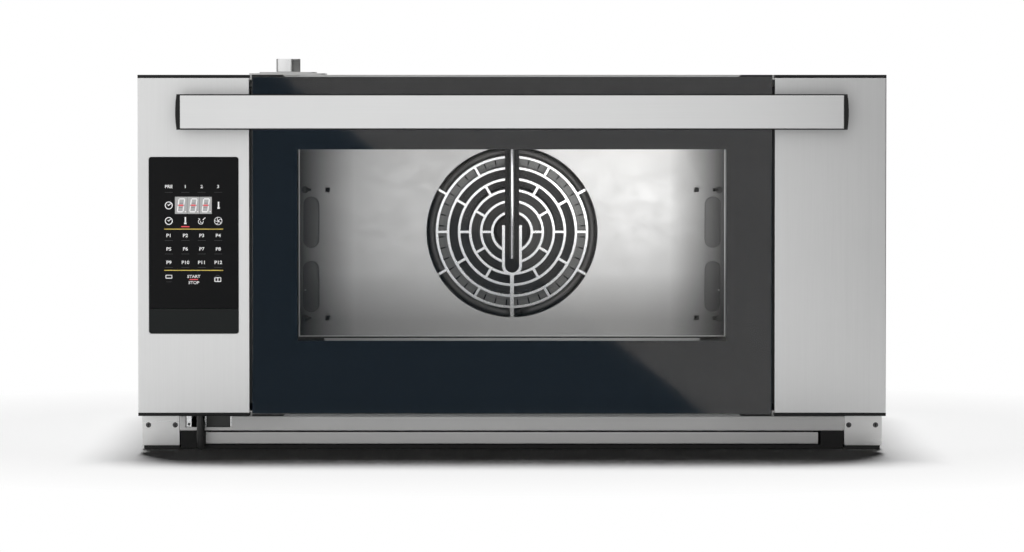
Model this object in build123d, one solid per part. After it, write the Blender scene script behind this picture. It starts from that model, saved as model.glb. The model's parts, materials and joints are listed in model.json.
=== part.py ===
from build123d import *
import math
import os

os.makedirs("parts", exist_ok=True)

# A three-tray convection oven with a drop-down door. X runs to the right, -Y to the front, +Z up.
# The origin is on the floor, under the middle of the oven. All sizes are millimetres.

# Overall sizes
overall_width = 800
overall_depth = 811
body_height = 405
base_height = 40
door_depth = 52
handle_reach = 38
gasket_gap = 12
steel = 1.2
thick_steel = 1.5
seam = 0.3
running_gap = 0.05

half_width = overall_width / 2
handle_front = -overall_depth / 2
door_front = handle_front + handle_reach
door_back = door_front + door_depth
body_front = door_back + gasket_gap
body_back = overall_depth / 2
door_bottom = base_height
door_top = body_height

# Cavity, measured in from the outside of the body
cavity_side = 82
cavity_floor = 92
cavity_roof = 41
cavity_radius = 20
rear_space = 173
fan_chamber = 100
insulation_side = 31
insulation_back = 40

cavity_half = half_width - cavity_side
cavity_bottom = cavity_floor
cavity_top = body_height - cavity_roof
back_wall = body_back - rear_space
guard_front = back_wall - fan_chamber

# Casing
casing_corner = 4
louvre_count = 8
louvre_length = 70
louvre_height = 4
louvre_pitch = 11
louvre_lift = 40
louvre_inset = 60

# Base
pad_height = 4.4
pad_size = 38
pad_inset = 2
pad_bevel = 1
base_top = 37.5
corner_width = 40.5
rail_bottom = 20.4
rail_flange = 20
screw_radius = 1.6
screw_head = 2.8
screw_dome = 1.4
screw_length = 8
screw_lift = 22.1
screw_outer_inset = 6.8
screw_inner_inset = 4.8
base_floor_edge = half_width - corner_width

# Drip tray
tray_inset = 69
tray_half_width = half_width - tray_inset
tray_bottom = 6.2
tray_top = 18.8
tray_depth = 280
tray_side_gap = 3
cheek_width = 24
housing_bottom = 1.0
runner_inset = 31
runner_width = 10
runner_x = tray_half_width - runner_inset

# Hinges of the door
hinge_inset = 28
hinge_y = door_front + hinge_inset
hinge_z = door_bottom + hinge_inset
hinge_radius = 4
arm_inset = 30.5
arm_x = half_width - arm_inset
arm_thickness = 5
arm_height = 15
arm_gap = 1.6
cheek_gap = 3
cheek_thickness = 3
arm_reach = 70
arm_notch_half = arm_thickness / 2 + arm_gap

# Wiring opening in the front rail, and the conduit that goes through it
opening_inset = 47
opening_width = 50
opening_bottom = 24.1
conduit_inset = 64.5
opening_left = -half_width + opening_inset
opening_right = opening_left + opening_width
conduit_x = -half_width + conduit_inset
conduit_radius = 3.5
conduit_slot_width = 15
conduit_slot_top = 76
conduit_exit_y = hinge_y - 0.5
conduit_exit_z = door_bottom + 6.5
conduit_low_y = hinge_y + 16.5
conduit_low_z = 1.5
conduit_end_y = body_front + 12.5
conduit_end_z = 31

# Fan guard
guard_side = 71
guard_lift = 10
guard_drop = 8
guard_half_width = cavity_half - guard_side
guard_bottom = cavity_bottom + guard_lift
guard_top = cavity_top - guard_drop
guard_height = guard_top - guard_bottom
guard_hem = 12
lip_inset = 29.4
lip_half_width = guard_half_width - lip_inset
fan_height = guard_bottom + 0.4772 * guard_height
grille_radius = 99
ring_width = 3.1
ring_pitch = 12.8
ring_count = 6
spoke_width = 3.1
foot_bar_width = 4.6
slot_half_width = 8.1
slot_frame_width = 3.5
slot_drop = 47.2
slot_frame_rise = 7.8
slot_bottom = fan_height - slot_drop
slot_frame_top = fan_height + slot_frame_rise
pocket_inset = 14.5
pocket_x = guard_half_width - pocket_inset
pocket_width = 18.4
pocket_height = 0.2323 * guard_height
pocket_depth = 3
upper_pocket = guard_bottom + 0.5217 * guard_height
lower_pocket = guard_bottom + 0.2283 * guard_height
square_hole_inset = 33.3
square_hole_x = guard_half_width - square_hole_inset
square_hole_size = 5.2
pin_hole_radius = 1.2
pin_hole_drop = 4.3
stud_inset = 7.5
stud_x = guard_half_width - stud_inset
upper_stud = guard_bottom + 0.6693 * guard_height
lower_stud = guard_bottom + 0.0846 * guard_height
stud_radius = 2.5
post_radius = 4

# Fan, heating element and motor
wheel_radius = 86
wheel_gap = 22
wheel_depth = 58
wheel_hub_radius = 18
wheel_hub_depth = 36
wheel_skin = 1.5
blade_count = 40
blade_chord = 13
blade_thickness = 1.2
shaft_radius = 6
element_tube = 4
element_gap = 3
element_radius = wheel_radius + element_gap + element_tube
element_pitch = 17
element_start = 16
element_opening = 14
element_lead = 12.5
element_bend = 6
element_tail = 16
motor_radius = 50
motor_length = 84
motor_gap = 48
motor_nose = 22
shaft_in_motor = 40
leg_radius = 60

# Water pipe and chimney
pipe_radius = 3.5
pipe_wall = 0.8
pipe_drop = 31.2
pipe_bottom = fan_height - pipe_drop
pipe_rise = 18
chimney_inset = 147
chimney_reach = 140.5
chimney_x = -half_width + chimney_inset
chimney_y = guard_front - chimney_reach
chimney_radius = 13.5
chimney_neck = 13.2
chimney_wall = 1.2
chimney_rise = 18
lower_flange = 85
upper_flange = 63
lower_flange_thickness = 1.8
upper_flange_thickness = 1.4

# Door
fascia_width = 119
fascia_return = 30
trim_height = 3.5
glass_side_gap = 3
glass_half_width = half_width - fascia_width - glass_side_gap
glass_thickness = 4
glass_notch = 2
glass_bevel = 0.6
print_gap = 0.1
print_thickness = 0.4
clip_width = 35
print_side = 48.5
print_below = 80.6
print_above = 79.7
window_half_width = glass_half_width - print_side
window_bottom = door_bottom + print_below
window_top = door_top - print_above
inner_glass_margin = 18
inner_glass_thickness = 4
frame_lift = 16
frame_tunnel = 12.5

# Handle
handle_inset = 47.6
handle_height = 35.2
handle_drop = 21.9
handle_half = half_width - handle_inset
handle_top = door_top - handle_drop
handle_depth = 14
core_lip = 1.3
cap_width = 5.2
cap_bow = 1.4
standoff_inset = 22.4
standoff_width = 16
standoff_x = handle_half - standoff_inset

# Control panel on the left fascia
panel_inset = 12.1
panel_width = 95.3
panel_lift = 88.6
panel_drop = 88.1
cover_height = 26.4
panel_left = -half_width + panel_inset
panel_right = panel_left + panel_width
panel_bottom = door_bottom + panel_lift
panel_seam = panel_bottom + cover_height
panel_top = door_top - panel_drop
panel_corner = 2.5
panel_proud = 1
panel_glass = 3
box_depth = 22
box_wall = 2
box_rim = 6
board_gap = 10
display_inset = 27.6
display_width = 39.7
display_drop = 42.2
display_height = 18.2
display_left = panel_left + display_inset
display_right = display_left + display_width
display_top = panel_top - display_drop
display_bottom = display_top - display_height

# Lamp in the ceiling and the supports for three trays
lamp_side = 188
lamp_reach = 92.5
lamp_x = cavity_half - lamp_side
lamp_y = guard_front - lamp_reach
lamp_radius = 28
lamp_drop = 5
lamp_stem = 20
lamp_rise = 24
tray_play = 36
tray_width = 2 * cavity_half - tray_play
tray_lift = 40
tray_count = 3
lowest_tray = cavity_bottom + tray_lift
tray_pitch = (cavity_top - cavity_bottom - 44) / tray_count
support_wire = 2.5
support_upright = 3
support_inset = 35.5
support_gap = 28.5
support_front = body_front + support_inset
support_back = guard_front - support_gap

# Rear panel and its fittings
rear_recess = 17.5
vent_count = 9
vent_pitch = 16
vent_length = 80
vent_height = 5
vent_drop = 190
gland_inset = 150
gland_x = -half_width + gland_inset
gland_thread = 12.5
gland_bore = 8
inlet_inset = 210
inlet_x = half_width - inlet_inset
inlet_thread = 13.2
inlet_neck = 12.9
inlet_bore = 9
fitting_nut = 17
fitting_z = 95

# Electronics beside the cavity
tray_sheet_inset = 42
tray_sheet_start = 123.5
tray_sheet_end = 62.5
tray_sheet_drop = 34
tray_sheet_front = body_front + tray_sheet_start
tray_sheet_back = back_wall - tray_sheet_end
tray_sheet_top = cavity_top - tray_sheet_drop
board_margin = 30
board_low = 110
board_stand = 8
board_sheet = 1.6


# Helpers
def block(x0, x1, y0, y1, z0, z1):
    return Pos((x0 + x1) / 2, (y0 + y1) / 2, (z0 + z1) / 2) * Box(x1 - x0, y1 - y0, z1 - z0)


def front_plane(y):
    return Plane(origin=(0, y, 0), x_dir=(1, 0, 0), z_dir=(0, -1, 0))


def side_plane(x):
    return Plane(origin=(x, 0, 0), x_dir=(0, 1, 0), z_dir=(1, 0, 0))


def plate(sketch, y0, y1):
    """A front-view sketch made solid from y0 back to y1."""
    return extrude(front_plane(y0) * sketch, amount=-(y1 - y0))


def slab(profile, x0, x1):
    """A side-view profile made solid from x0 to x1."""
    return extrude(side_plane(x0) * profile, amount=x1 - x0)


def rectangle(x0, x1, z0, z1):
    return Pos((x0 + x1) / 2, (z0 + z1) / 2) * Rectangle(x1 - x0, z1 - z0)


def rounded(x0, x1, z0, z1, radius):
    return Pos((x0 + x1) / 2, (z0 + z1) / 2) * RectangleRounded(x1 - x0, z1 - z0, radius)


def arch(half, z0, z1, radius):
    """A rectangle whose two upper corners are round."""
    full = rounded(-half, half, 2 * z0 - z1, z1, radius)
    return full & rectangle(-half, half, z0, z1)


def rod(x, z, radius, y0, y1):
    return Pos(x, (y0 + y1) / 2, z) * Rot(90, 0, 0) * Cylinder(radius, y1 - y0)


def cross_rod(y, z, radius, x0, x1):
    return Pos((x0 + x1) / 2, y, z) * Rot(0, 90, 0) * Cylinder(radius, x1 - x0)


def post(x, y, radius, z0, z1):
    return Pos(x, y, (z0 + z1) / 2) * Cylinder(radius, z1 - z0)


def mirrored(part):
    return part.mirror(Plane.YZ)


def both_sides(part):
    return part + mirrored(part)


def save(part, name):
    part.label = name
    export_step(part, f"parts/{name}.step")


# Body: casing, frames and base
def cavity_mouth(grow=0.0):
    return rounded(
        -cavity_half - grow, cavity_half + grow, cavity_bottom - grow, cavity_top + grow, cavity_radius + grow
    )


def outer_casing():
    outline = arch(half_width, base_top, body_height, casing_corner)
    inside = arch(half_width - steel, base_top, body_height - steel, casing_corner - steel)
    shell = plate(outline - inside, body_front, body_back)
    shell -= post(chimney_x, chimney_y, chimney_neck + seam, cavity_top, body_height + 1)
    for row in range(louvre_count):
        z = base_top + louvre_lift + row * louvre_pitch
        y = body_back - louvre_inset
        shell -= block(-half_width - 1, half_width + 1, y - louvre_length, y, z, z + louvre_height)
    return shell


def front_frame():
    outline = arch(half_width - steel - seam, base_top, body_height - steel - seam, 3)
    face = plate(outline - cavity_mouth(), body_front, body_front + thick_steel)
    slot = block(
        arm_x - arm_notch_half,
        arm_x + arm_notch_half,
        body_front - 1,
        body_front + thick_steel + 1,
        hinge_z - arm_height / 2 - 2,
        hinge_z + arm_height / 2 + 2,
    )
    half = conduit_slot_width / 2
    recess = block(
        conduit_x - half, conduit_x + half, body_front - 1, body_front + 3, base_top - 1, conduit_slot_top
    )
    return face - both_sides(slot) - recess


def base_frame():
    outline = rectangle(-half_width, half_width, pad_height, base_top)
    inside = rectangle(
        -half_width + thick_steel, half_width - thick_steel, pad_height + thick_steel, base_top - thick_steel
    )
    mouth = rectangle(-base_floor_edge, base_floor_edge, pad_height - 1, pad_height + thick_steel + 1)
    start = body_front + 2
    section = plate(outline - inside - mouth, start, body_back)
    rear = block(
        -half_width + thick_steel,
        half_width - thick_steel,
        body_back - thick_steel,
        body_back,
        pad_height + thick_steel,
        base_top - thick_steel,
    )
    tab = block(
        base_floor_edge + 0.5, half_width - thick_steel, start, start + thick_steel, 8, base_top - thick_steel
    )
    section += rear
    section += both_sides(tab)
    for x, z in corner_screw_places():
        section -= rod(x, z, screw_radius + running_gap, start - 1, start + 3)
    return section


def corner_screw_places():
    height = pad_height + screw_lift
    outer = half_width - screw_outer_inset
    inner = base_floor_edge + screw_inner_inset
    return [(-outer, height), (-inner, height), (inner, height), (outer, height)]


def corner_plate():
    """The right-hand plate; the left one is its mirror image."""
    sketch = rounded(base_floor_edge, half_width, pad_height, base_top + 5, 1.5)
    sketch &= rectangle(base_floor_edge, half_width, pad_height, base_top - seam)
    face = plate(sketch, body_front, body_front + 2)
    for x, z in corner_screw_places():
        face -= rod(x, z, screw_radius + 0.2, body_front - 1, body_front + 3)
    return face


def corner_screws():
    """Low domed heads with a crossed slot, and their shanks."""
    slot_half = 0.35
    slot_reach = 2
    front = body_front - screw_dome
    group = None
    for x, z in corner_screw_places():
        head = Rot(90, 0, 0) * Cone(screw_head, screw_head - 0.8, screw_dome)
        screw = Pos(x, body_front - screw_dome / 2, z) * head
        screw -= block(x - slot_reach, x + slot_reach, front - 1, front + 0.8, z - slot_half, z + slot_half)
        screw -= block(x - slot_half, x + slot_half, front - 1, front + 0.8, z - slot_reach, z + slot_reach)
        screw += rod(x, z, screw_radius, body_front, body_front + screw_length)
        group = screw if group is None else group + screw
    return group


def foot_pads():
    x0 = base_floor_edge + 0.5
    x1 = x0 + pad_size
    group = None
    for y0 in (body_front + pad_inset, body_back - pad_size - pad_inset):
        pad = block(x0, x1, y0, y0 + pad_size, 0, pad_height)
        pad = chamfer(pad.faces().sort_by(Axis.Z)[0].edges(), pad_bevel)
        group = pad if group is None else group + pad
    return both_sides(group)


def front_rail():
    top = base_top - thick_steel
    x1 = base_floor_edge - seam
    back = body_front + rail_flange
    face = block(-x1, x1, body_front, body_front + thick_steel, rail_bottom, top)
    upper = block(-x1, x1, body_front, back, top - thick_steel, top)
    lower = block(-x1, x1, body_front, back - 8, rail_bottom, rail_bottom + thick_steel)
    opening = block(opening_left, opening_right, body_front - 1, back + 1, opening_bottom, top + 1)
    return face + upper + lower - opening


def inlet_bracket():
    """Folded channel behind the wiring opening: a floor with two upright edges."""
    y0 = body_front + thick_steel + seam
    y1 = body_front + 26
    z0 = rail_bottom + thick_steel
    z1 = base_top - thick_steel
    x0 = conduit_x + 3.2
    x1 = opening_right - seam
    x2 = opening_left + seam
    height = z0 + thick_steel
    floor = block(x2, x1, y0, y1, z0, height)
    fold = block(x0, x0 + thick_steel, y0 + 2, y1, height, z1)
    end = block(x1 - thick_steel, x1, y0, y1, height, z1)
    clip = block(x2, x2 + 5.8, y0 + 4, y0 + 4 + thick_steel, height, z1)
    clip -= rod(x2 + 3, height + 3.5, 1.2, y0, y0 + 10)
    return floor + end + clip + (fold - conduit_sleeve())


def inlet_cover():
    y0 = body_front + 9
    x0 = conduit_x + 3.2 + thick_steel
    x1 = opening_right - seam - thick_steel
    z0 = rail_bottom + 2 * thick_steel
    return block(x0, x1, y0, y0 + thick_steel, z0, base_top - thick_steel)


def tray_housing():
    edge = base_floor_edge - 1.5
    inner = edge - cheek_width
    y0 = body_front
    y1 = body_front + tray_depth + 20
    floor_top = housing_bottom + steel
    rim = tray_bottom - 1
    cheek_top = rail_bottom - seam
    cheek = rectangle(inner, edge, floor_top, cheek_top)
    cheek -= rectangle(inner + steel, edge - steel, floor_top, cheek_top - steel)
    floor = block(-edge, edge, y0, y1, housing_bottom, floor_top)
    front_lip = block(-inner, inner, y0, y0 + steel, floor_top, rim)
    cheek_front = block(inner, edge, y0, y0 + steel, floor_top, cheek_top)
    runner = block(runner_x, runner_x + runner_width, y0 + 8, y1 - 5, floor_top, tray_bottom - seam)
    stop = block(-inner, inner, y1 - steel, y1, floor_top, tray_top - 1)
    side = plate(cheek, y0, y1) + cheek_front + runner
    return floor + front_lip + stop + both_sides(side)


def drip_tray():
    wall = 1.0
    face = block(-tray_half_width, tray_half_width, body_front, body_front + 2, tray_bottom, tray_top)
    half = tray_half_width - tray_side_gap
    y0 = body_front + 2
    y1 = body_front + tray_depth
    tub = block(-half, half, y0, y1, tray_bottom, tray_top - 2)
    hollow = block(-half + wall, half - wall, y0 + wall, y1 - wall, tray_bottom + wall, tray_top)
    return face + (tub - hollow)


# Conduit of the control wiring, held at the door and at the base
def conduit_points():
    """Straight down out of the door, in one loop under it, and up behind the front rail."""
    return [
        (conduit_x, conduit_exit_y, conduit_exit_z),
        (conduit_x, conduit_exit_y - 0.6, 10),
        (conduit_x, conduit_low_y, conduit_low_z),
        (conduit_x, body_front - 7.5, 24),
        (conduit_x, conduit_end_y, conduit_end_z),
    ]


def conduit_radii():
    """Each arc is 0.45 of its shorter run over the tangent of half the turn."""
    points = [Vector(*p) for p in conduit_points()]
    radii = []
    for before, corner, after in zip(points, points[1:], points[2:]):
        first = corner - before
        second = after - corner
        turn = math.radians(first.get_angle(second))
        radii.append(0.45 * min(first.length, second.length) / math.tan(turn / 2))
    return radii


def conduit_tube(radius):
    path = FilletPolyline(*conduit_points(), radius=conduit_radii())
    start = Plane(origin=path @ 0, z_dir=path % 0)
    return sweep(start * Circle(radius), path=path)


def conduit_sleeve():
    return conduit_tube(conduit_radius + seam)


def conduit_grommet():
    y = conduit_exit_y
    collar = post(conduit_x, y, conduit_radius + 3, door_bottom - 0.8, door_bottom)
    neck = post(conduit_x, y, conduit_radius + 1.5, door_bottom, door_bottom + trim_height + 1)
    return collar + neck - post(conduit_x, y, conduit_radius + 0.2, 0, conduit_exit_z + 5)


# Cavity and what hangs in it
def cavity_liner():
    front = body_front + thick_steel
    ring = plate(cavity_mouth(steel) - cavity_mouth(), front, back_wall)
    wall = plate(cavity_mouth(steel), back_wall, back_wall + steel)
    wall -= rod(0, fan_height, shaft_radius + 1, back_wall - 1, back_wall + 3)
    wall -= element_holes(element_tube + 0.3, back_wall - 1, back_wall + 3)
    liner = ring + wall
    liner -= post(chimney_x, chimney_y, chimney_neck + seam, cavity_top - 1, cavity_top + 3)
    liner -= post(0, pipe_y(), pipe_radius + 0.3, cavity_top - 1, cavity_top + 3)
    liner -= post(lamp_x, lamp_y, lamp_stem + seam, cavity_top - 1, cavity_top + 3)
    return liner


def cavity_lamp():
    """A thick lens under the ceiling, on a stem that screws into the lamp's socket above."""
    lens = post(lamp_x, lamp_y, lamp_radius, cavity_top - lamp_drop, cavity_top - seam)
    lens = fillet(lens.edges().group_by(Axis.Z)[0], 2)
    return lens + post(lamp_x, lamp_y, lamp_stem, cavity_top - lamp_drop, cavity_top + lamp_rise)


def tray_supports():
    """Wire frames on both side walls: two uprights and three runners, with pegs to the wall."""
    x1 = cavity_half - 7
    x0 = tray_width / 2 - 4
    low = cavity_bottom + 22
    high = cavity_top - 22
    frame = None
    for y in (support_front, support_back):
        upright = post(x1, y, support_upright, low, high)
        for z in (low + 6, high - 6):
            upright += cross_rod(y, z, support_upright, x1, cavity_half)
        frame = upright if frame is None else frame + upright
    for level in range(tray_count):
        z = lowest_tray + level * tray_pitch
        route = [(x1, support_front, z), (x0, support_front, z), (x0, support_back, z), (x1, support_back, z)]
        path = FilletPolyline(*route, radius=6)
        frame += sweep(Plane(origin=path @ 0, z_dir=path % 0) * Circle(support_wire), path=path)
    return both_sides(frame)


def pipe_y():
    return guard_front + steel / 2


def insulation():
    gap = steel + seam
    outer = rounded(
        -cavity_half - insulation_side,
        cavity_half + insulation_side,
        cavity_bottom - insulation_side,
        cavity_top + insulation_side,
        cavity_radius,
    )
    front = body_front + thick_steel + seam
    wrap = plate(outer - cavity_mouth(gap), front, back_wall + gap)
    slab_back = plate(outer, back_wall + gap, back_wall + gap + insulation_back)
    slab_back -= rod(0, fan_height, leg_radius + 12, back_wall - 1, back_wall + insulation_back + 5)
    slab_back -= element_holes(14, back_wall - 1, back_wall + insulation_back + 5)
    wool = wrap + slab_back
    wool -= post(chimney_x, chimney_y, chimney_radius + 1, cavity_top - 5, body_height)
    wool -= post(0, pipe_y(), 10, cavity_top - 5, body_height)
    wool -= post(lamp_x, lamp_y, lamp_stem + 2, cavity_top - 5, body_height)
    recess = block(conduit_x - 12, conduit_x + 12, front - 1, body_front + 22, 0, conduit_slot_top + 4)
    return wool - recess


def door_gasket():
    inset = 2
    width = 10
    ring = cavity_mouth(inset + width) - cavity_mouth(inset)
    seal = plate(ring, door_back + seam, body_front)
    front_edges = seal.faces().sort_by(Axis.Y)[0].edges()
    return fillet(front_edges, 3.5)


def guard_ring(radius):
    return Circle(radius + ring_width / 2) - Circle(radius - ring_width / 2)


def spokes(inner, outer, angles, width):
    """Radial bars between two radii, in one sketch."""
    bars = None
    length = outer - inner
    for angle in angles:
        bar = Rot(0, 0, angle) * Pos((inner + outer) / 2, 0) * Rectangle(length, width)
        bars = bar if bars is None else bars + bar
    return bars


def grille():
    """Six rings and their staggered spokes, with a slot for the water pipe."""
    six_ways = [0, 60, 120, 180, 240, 300]
    four_ways = [30, 150, 210, 330]
    first = grille_radius - ring_pitch + ring_width / 2 - 0.85
    rings = [first - ring_pitch * step for step in range(ring_count)]
    sketch = guard_ring(rings[0])
    for radius in rings[1:]:
        sketch += guard_ring(radius)
    sketch += spokes(rings[0], grille_radius + 0.5, four_ways, spoke_width)
    for band in range(ring_count - 1):
        ways = six_ways if band % 2 == 0 else four_ways
        if band == ring_count - 2:
            ways = [0, 180]
        sketch += spokes(rings[band + 1], rings[band], ways, spoke_width)
    sketch += spokes(rings[3], grille_radius + 0.5, [270], foot_bar_width)
    outer = slot_half_width + slot_frame_width
    low = slot_bottom - fan_height
    frame_top = slot_frame_top - fan_height
    frame = Pos(0, low + slot_half_width) * Circle(outer)
    frame += rectangle(-outer, outer, low + slot_half_width, frame_top)
    return sketch + frame


def pipe_slot():
    low = slot_bottom + slot_half_width
    slot = Pos(0, low) * Circle(slot_half_width)
    return slot + rectangle(-slot_half_width, slot_half_width, low, cavity_top)


def stadium(x, z, width, height):
    return Pos(x, z) * Rot(0, 0, 90) * SlotOverall(height, width)


def fan_guard():
    panel = rectangle(-guard_half_width, guard_half_width, guard_bottom, guard_top)
    panel -= Pos(0, fan_height) * Circle(grille_radius)
    panel += Pos(0, fan_height) * grille()
    panel -= pipe_slot()
    half = square_hole_size / 2
    for x in (-square_hole_x, square_hole_x):
        for z in (upper_stud, lower_stud):
            panel -= rectangle(x - half, x + half, z - half, z + half)
    for x in (-pocket_x, pocket_x):
        for z in (upper_pocket, lower_pocket):
            panel -= stadium(x, z, pocket_width, pocket_height)
    sheet = plate(panel, guard_front, guard_front + steel)
    hem_back = guard_front + guard_hem
    hem = block(
        guard_half_width - steel, guard_half_width, guard_front + steel, hem_back, guard_bottom, guard_top
    )
    sheet += both_sides(hem)
    inner = guard_half_width - steel
    sheet += block(-inner, inner, guard_front + steel, hem_back, guard_bottom, guard_bottom + steel)
    top_hem = block(-inner, inner, guard_front + steel, hem_back, guard_top - steel, guard_top)
    lip_y = guard_front + 3
    lip_low = block(-lip_half_width, lip_half_width, lip_y, lip_y + steel, cavity_bottom + seam, guard_bottom)
    lip_high = block(-lip_half_width, lip_half_width, lip_y, lip_y + steel, guard_top, cavity_top - seam)
    gate = block(-slot_half_width, slot_half_width, guard_front - 1, hem_back + 1, guard_top - 3, cavity_top)
    sheet += lip_low + (top_hem + lip_high - gate)
    for x in (-pocket_x, pocket_x):
        for z in (upper_pocket, lower_pocket):
            wide = stadium(x, z, pocket_width + 2 * steel, pocket_height + 2 * steel)
            narrow = stadium(x, z, pocket_width, pocket_height)
            sheet += plate(wide - narrow, guard_front + steel, guard_front + pocket_depth)
            sheet += plate(wide, guard_front + pocket_depth, guard_front + pocket_depth + steel)
    for x in (-stud_x, stud_x):
        for z in (upper_stud, lower_stud):
            sheet -= rod(x, z, stud_radius + 0.2, guard_front - 1, guard_front + 10)
        sheet -= rod(x, lower_pocket - pin_hole_drop, pin_hole_radius, guard_front - 1, guard_front + 10)
    return sheet


def stud_places():
    return [(x, z) for x in (-stud_x, stud_x) for z in (upper_stud, lower_stud)]


def guard_posts():
    group = None
    for x, z in stud_places():
        bar = rod(x, z, post_radius, guard_front + steel + seam, back_wall)
        bar -= rod(x, z, stud_radius + running_gap, guard_front - 1, guard_front + 12)
        group = bar if group is None else group + bar
    return group


def guard_studs():
    """Quarter-turn fasteners: a shank, a washer and a wing across the head."""
    group = None
    for x, z in stud_places():
        stud = rod(x, z, stud_radius, guard_front - 2, guard_front + 11)
        stud += rod(x, z, 4, guard_front - 1.2, guard_front - seam)
        stud += rod(x, z, 3.2, guard_front - 4, guard_front - 1.2)
        side = 1 if x < 0 else -1
        wing = Pos(x + side * 4, guard_front - 3, z) * Rot(0, 90, 0) * Cone(2.2, 1.2, 6)
        stud += wing
        group = stud if group is None else group + stud
    return group


def fan_wheel():
    """Dished back disc, front ring and a cage of curved blades between them."""
    front = guard_front + wheel_gap
    back = front + wheel_depth
    bore = shaft_radius + running_gap
    profile = Polyline(
        (bore, back),
        (wheel_radius, back),
        (wheel_radius, back - wheel_skin),
        (wheel_radius * 0.6, back - wheel_skin),
        (wheel_hub_radius, back - wheel_hub_depth + 12),
        (wheel_hub_radius, back - wheel_hub_depth),
        (bore, back - wheel_hub_depth),
        close=True,
    )
    disc = revolve(Plane.XY * make_face(profile), axis=Axis.Y)
    rim = front_plane(front) * (Circle(wheel_radius) - Circle(wheel_radius - 10))
    ring = extrude(rim, amount=-wheel_skin)
    inner = wheel_radius - 11
    outer = wheel_radius - 0.8
    lead = math.radians(11)
    arc = RadiusArc((inner, 0), (outer * math.cos(lead), outer * math.sin(lead)), blade_chord * 0.9)
    blade = trace(arc, blade_thickness)
    blades = None
    for index in range(blade_count):
        turned = Rot(0, 0, 360 * index / blade_count) * blade
        blades = turned if blades is None else blades + turned
    bite = 0.2
    cage_depth = wheel_depth - 2 * wheel_skin + 2 * bite
    cage = extrude(front_plane(front + wheel_skin - bite) * blades, amount=-cage_depth)
    return Pos(0, 0, fan_height) * (disc + ring + cage)


def hub_front():
    return guard_front + wheel_gap + wheel_depth - wheel_hub_depth


def fan_nut():
    """Six-sided cap nut on the end of the shaft."""
    across = 9
    height = 7
    y = hub_front() - height
    nut = extrude(front_plane(y) * RegularPolygon(across, 6), amount=-height)
    dome = Pos(0, y, 0) * Sphere(height) & Pos(0, y - 5, 0) * Box(20, 10, 20)
    return Pos(0, 0, fan_height) * (nut + dome)


def motor_front():
    return back_wall + steel + motor_gap


def motor_shaft():
    return rod(0, fan_height, shaft_radius, hub_front(), motor_front() + shaft_in_motor)


def motor():
    front = motor_front()
    back = front + motor_length
    profile = Polyline(
        (shaft_radius + running_gap, front),
        (motor_nose, front),
        (motor_nose, front + 6),
        (motor_radius - 6, front + 10),
        (motor_radius, front + 18),
        (motor_radius, back - 14),
        (motor_radius - 8, back),
        (0, back),
        (0, front + shaft_in_motor + 1),
        (shaft_radius + running_gap, front + shaft_in_motor + 1),
        close=True,
    )
    shell = revolve(Plane.XY * make_face(profile), axis=Axis.Y)
    for angle in range(0, 360, 30):
        fin = Rot(0, angle, 0) * block(motor_radius - 1, motor_radius + 4, front + 20, back - 16, -1.5, 1.5)
        shell += fin
    return Pos(0, 0, fan_height) * shell


def motor_bracket():
    """Plate on four legs that stand on the back wall, clear of the insulation."""
    y1 = motor_front() + 6
    y0 = y1 - 4
    disc = Circle(leg_radius + 9) - Circle(motor_nose + seam)
    bracket = Pos(0, 0, fan_height) * plate(disc, y0, y1)
    for angle in (45, 135, 225, 315):
        x = leg_radius * math.cos(math.radians(angle))
        z = fan_height + leg_radius * math.sin(math.radians(angle))
        bracket += rod(x, z, 5, back_wall + steel, y0)
    return bracket


def ring_point(angle, radius=element_radius):
    """A point and the direction of rising angle on the element's ring, measured from +X."""
    turn = math.radians(angle)
    point = Vector(radius * math.cos(turn), 0, radius * math.sin(turn))
    return point, Vector(-math.sin(turn), 0, math.cos(turn))


def element_leg(angle, y, way):
    """The tube leaves its ring along the tangent and bends back through the rear wall."""
    point, along = ring_point(angle)
    start = point + Vector(0, y, 0)
    corner = start + along * (way * element_lead)
    middle = corner + along * (way * element_bend * math.sin(math.pi / 4))
    middle += Vector(0, element_bend * (1 - math.cos(math.pi / 4)), 0)
    top = corner + along * (way * element_bend) + Vector(0, element_bend, 0)
    tail = Vector(top.X, back_wall + steel + element_tail, top.Z)
    return [Line(start, corner), ThreePointArc(corner, middle, top), Line(top, tail)]


def element_leg_place():
    """The X and Z, from the fan's axis, where the right-hand leg goes through the wall."""
    point, along = ring_point(element_opening - 90)
    corner = point - along * (element_lead + element_bend)
    return corner.X, corner.Z


def element_holes(radius, y0, y1):
    x, z = element_leg_place()
    return both_sides(rod(x, fan_height + z, radius, y0, y1))


def heating_element():
    """One tube: three loops, each turning back into the next, with both ends through the wall."""
    first = guard_front + element_start
    right = element_opening - 90
    left = -90 - element_opening
    half = element_pitch / 2

    def loop(y):
        top = Vector(0, y, element_radius)
        shift = Vector(0, y, 0)
        return ThreePointArc(ring_point(left)[0] + shift, top, ring_point(right)[0] + shift)

    def turn_back(angle, y, way):
        point, along = ring_point(angle)
        tip = point + Vector(0, y + half, 0) + along * (way * half)
        return ThreePointArc(point + Vector(0, y, 0), tip, point + Vector(0, y + element_pitch, 0))

    edges = element_leg(left, first, 1)
    edges += [loop(first), turn_back(right, first, -1)]
    edges += [loop(first + element_pitch), turn_back(left, first + element_pitch, 1)]
    edges += [loop(first + 2 * element_pitch)]
    edges += element_leg(right, first + 2 * element_pitch, -1)
    path = Wire(edges)
    section = Plane(origin=path @ 0, z_dir=path % 0) * Circle(element_tube)
    return Pos(0, 0, fan_height) * sweep(section, path=path)


def steam_pipe():
    top = cavity_top + pipe_rise
    tube = post(0, pipe_y(), pipe_radius, pipe_bottom, top)
    return tube - post(0, pipe_y(), pipe_radius - pipe_wall, pipe_bottom - 1, top + 1)


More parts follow.
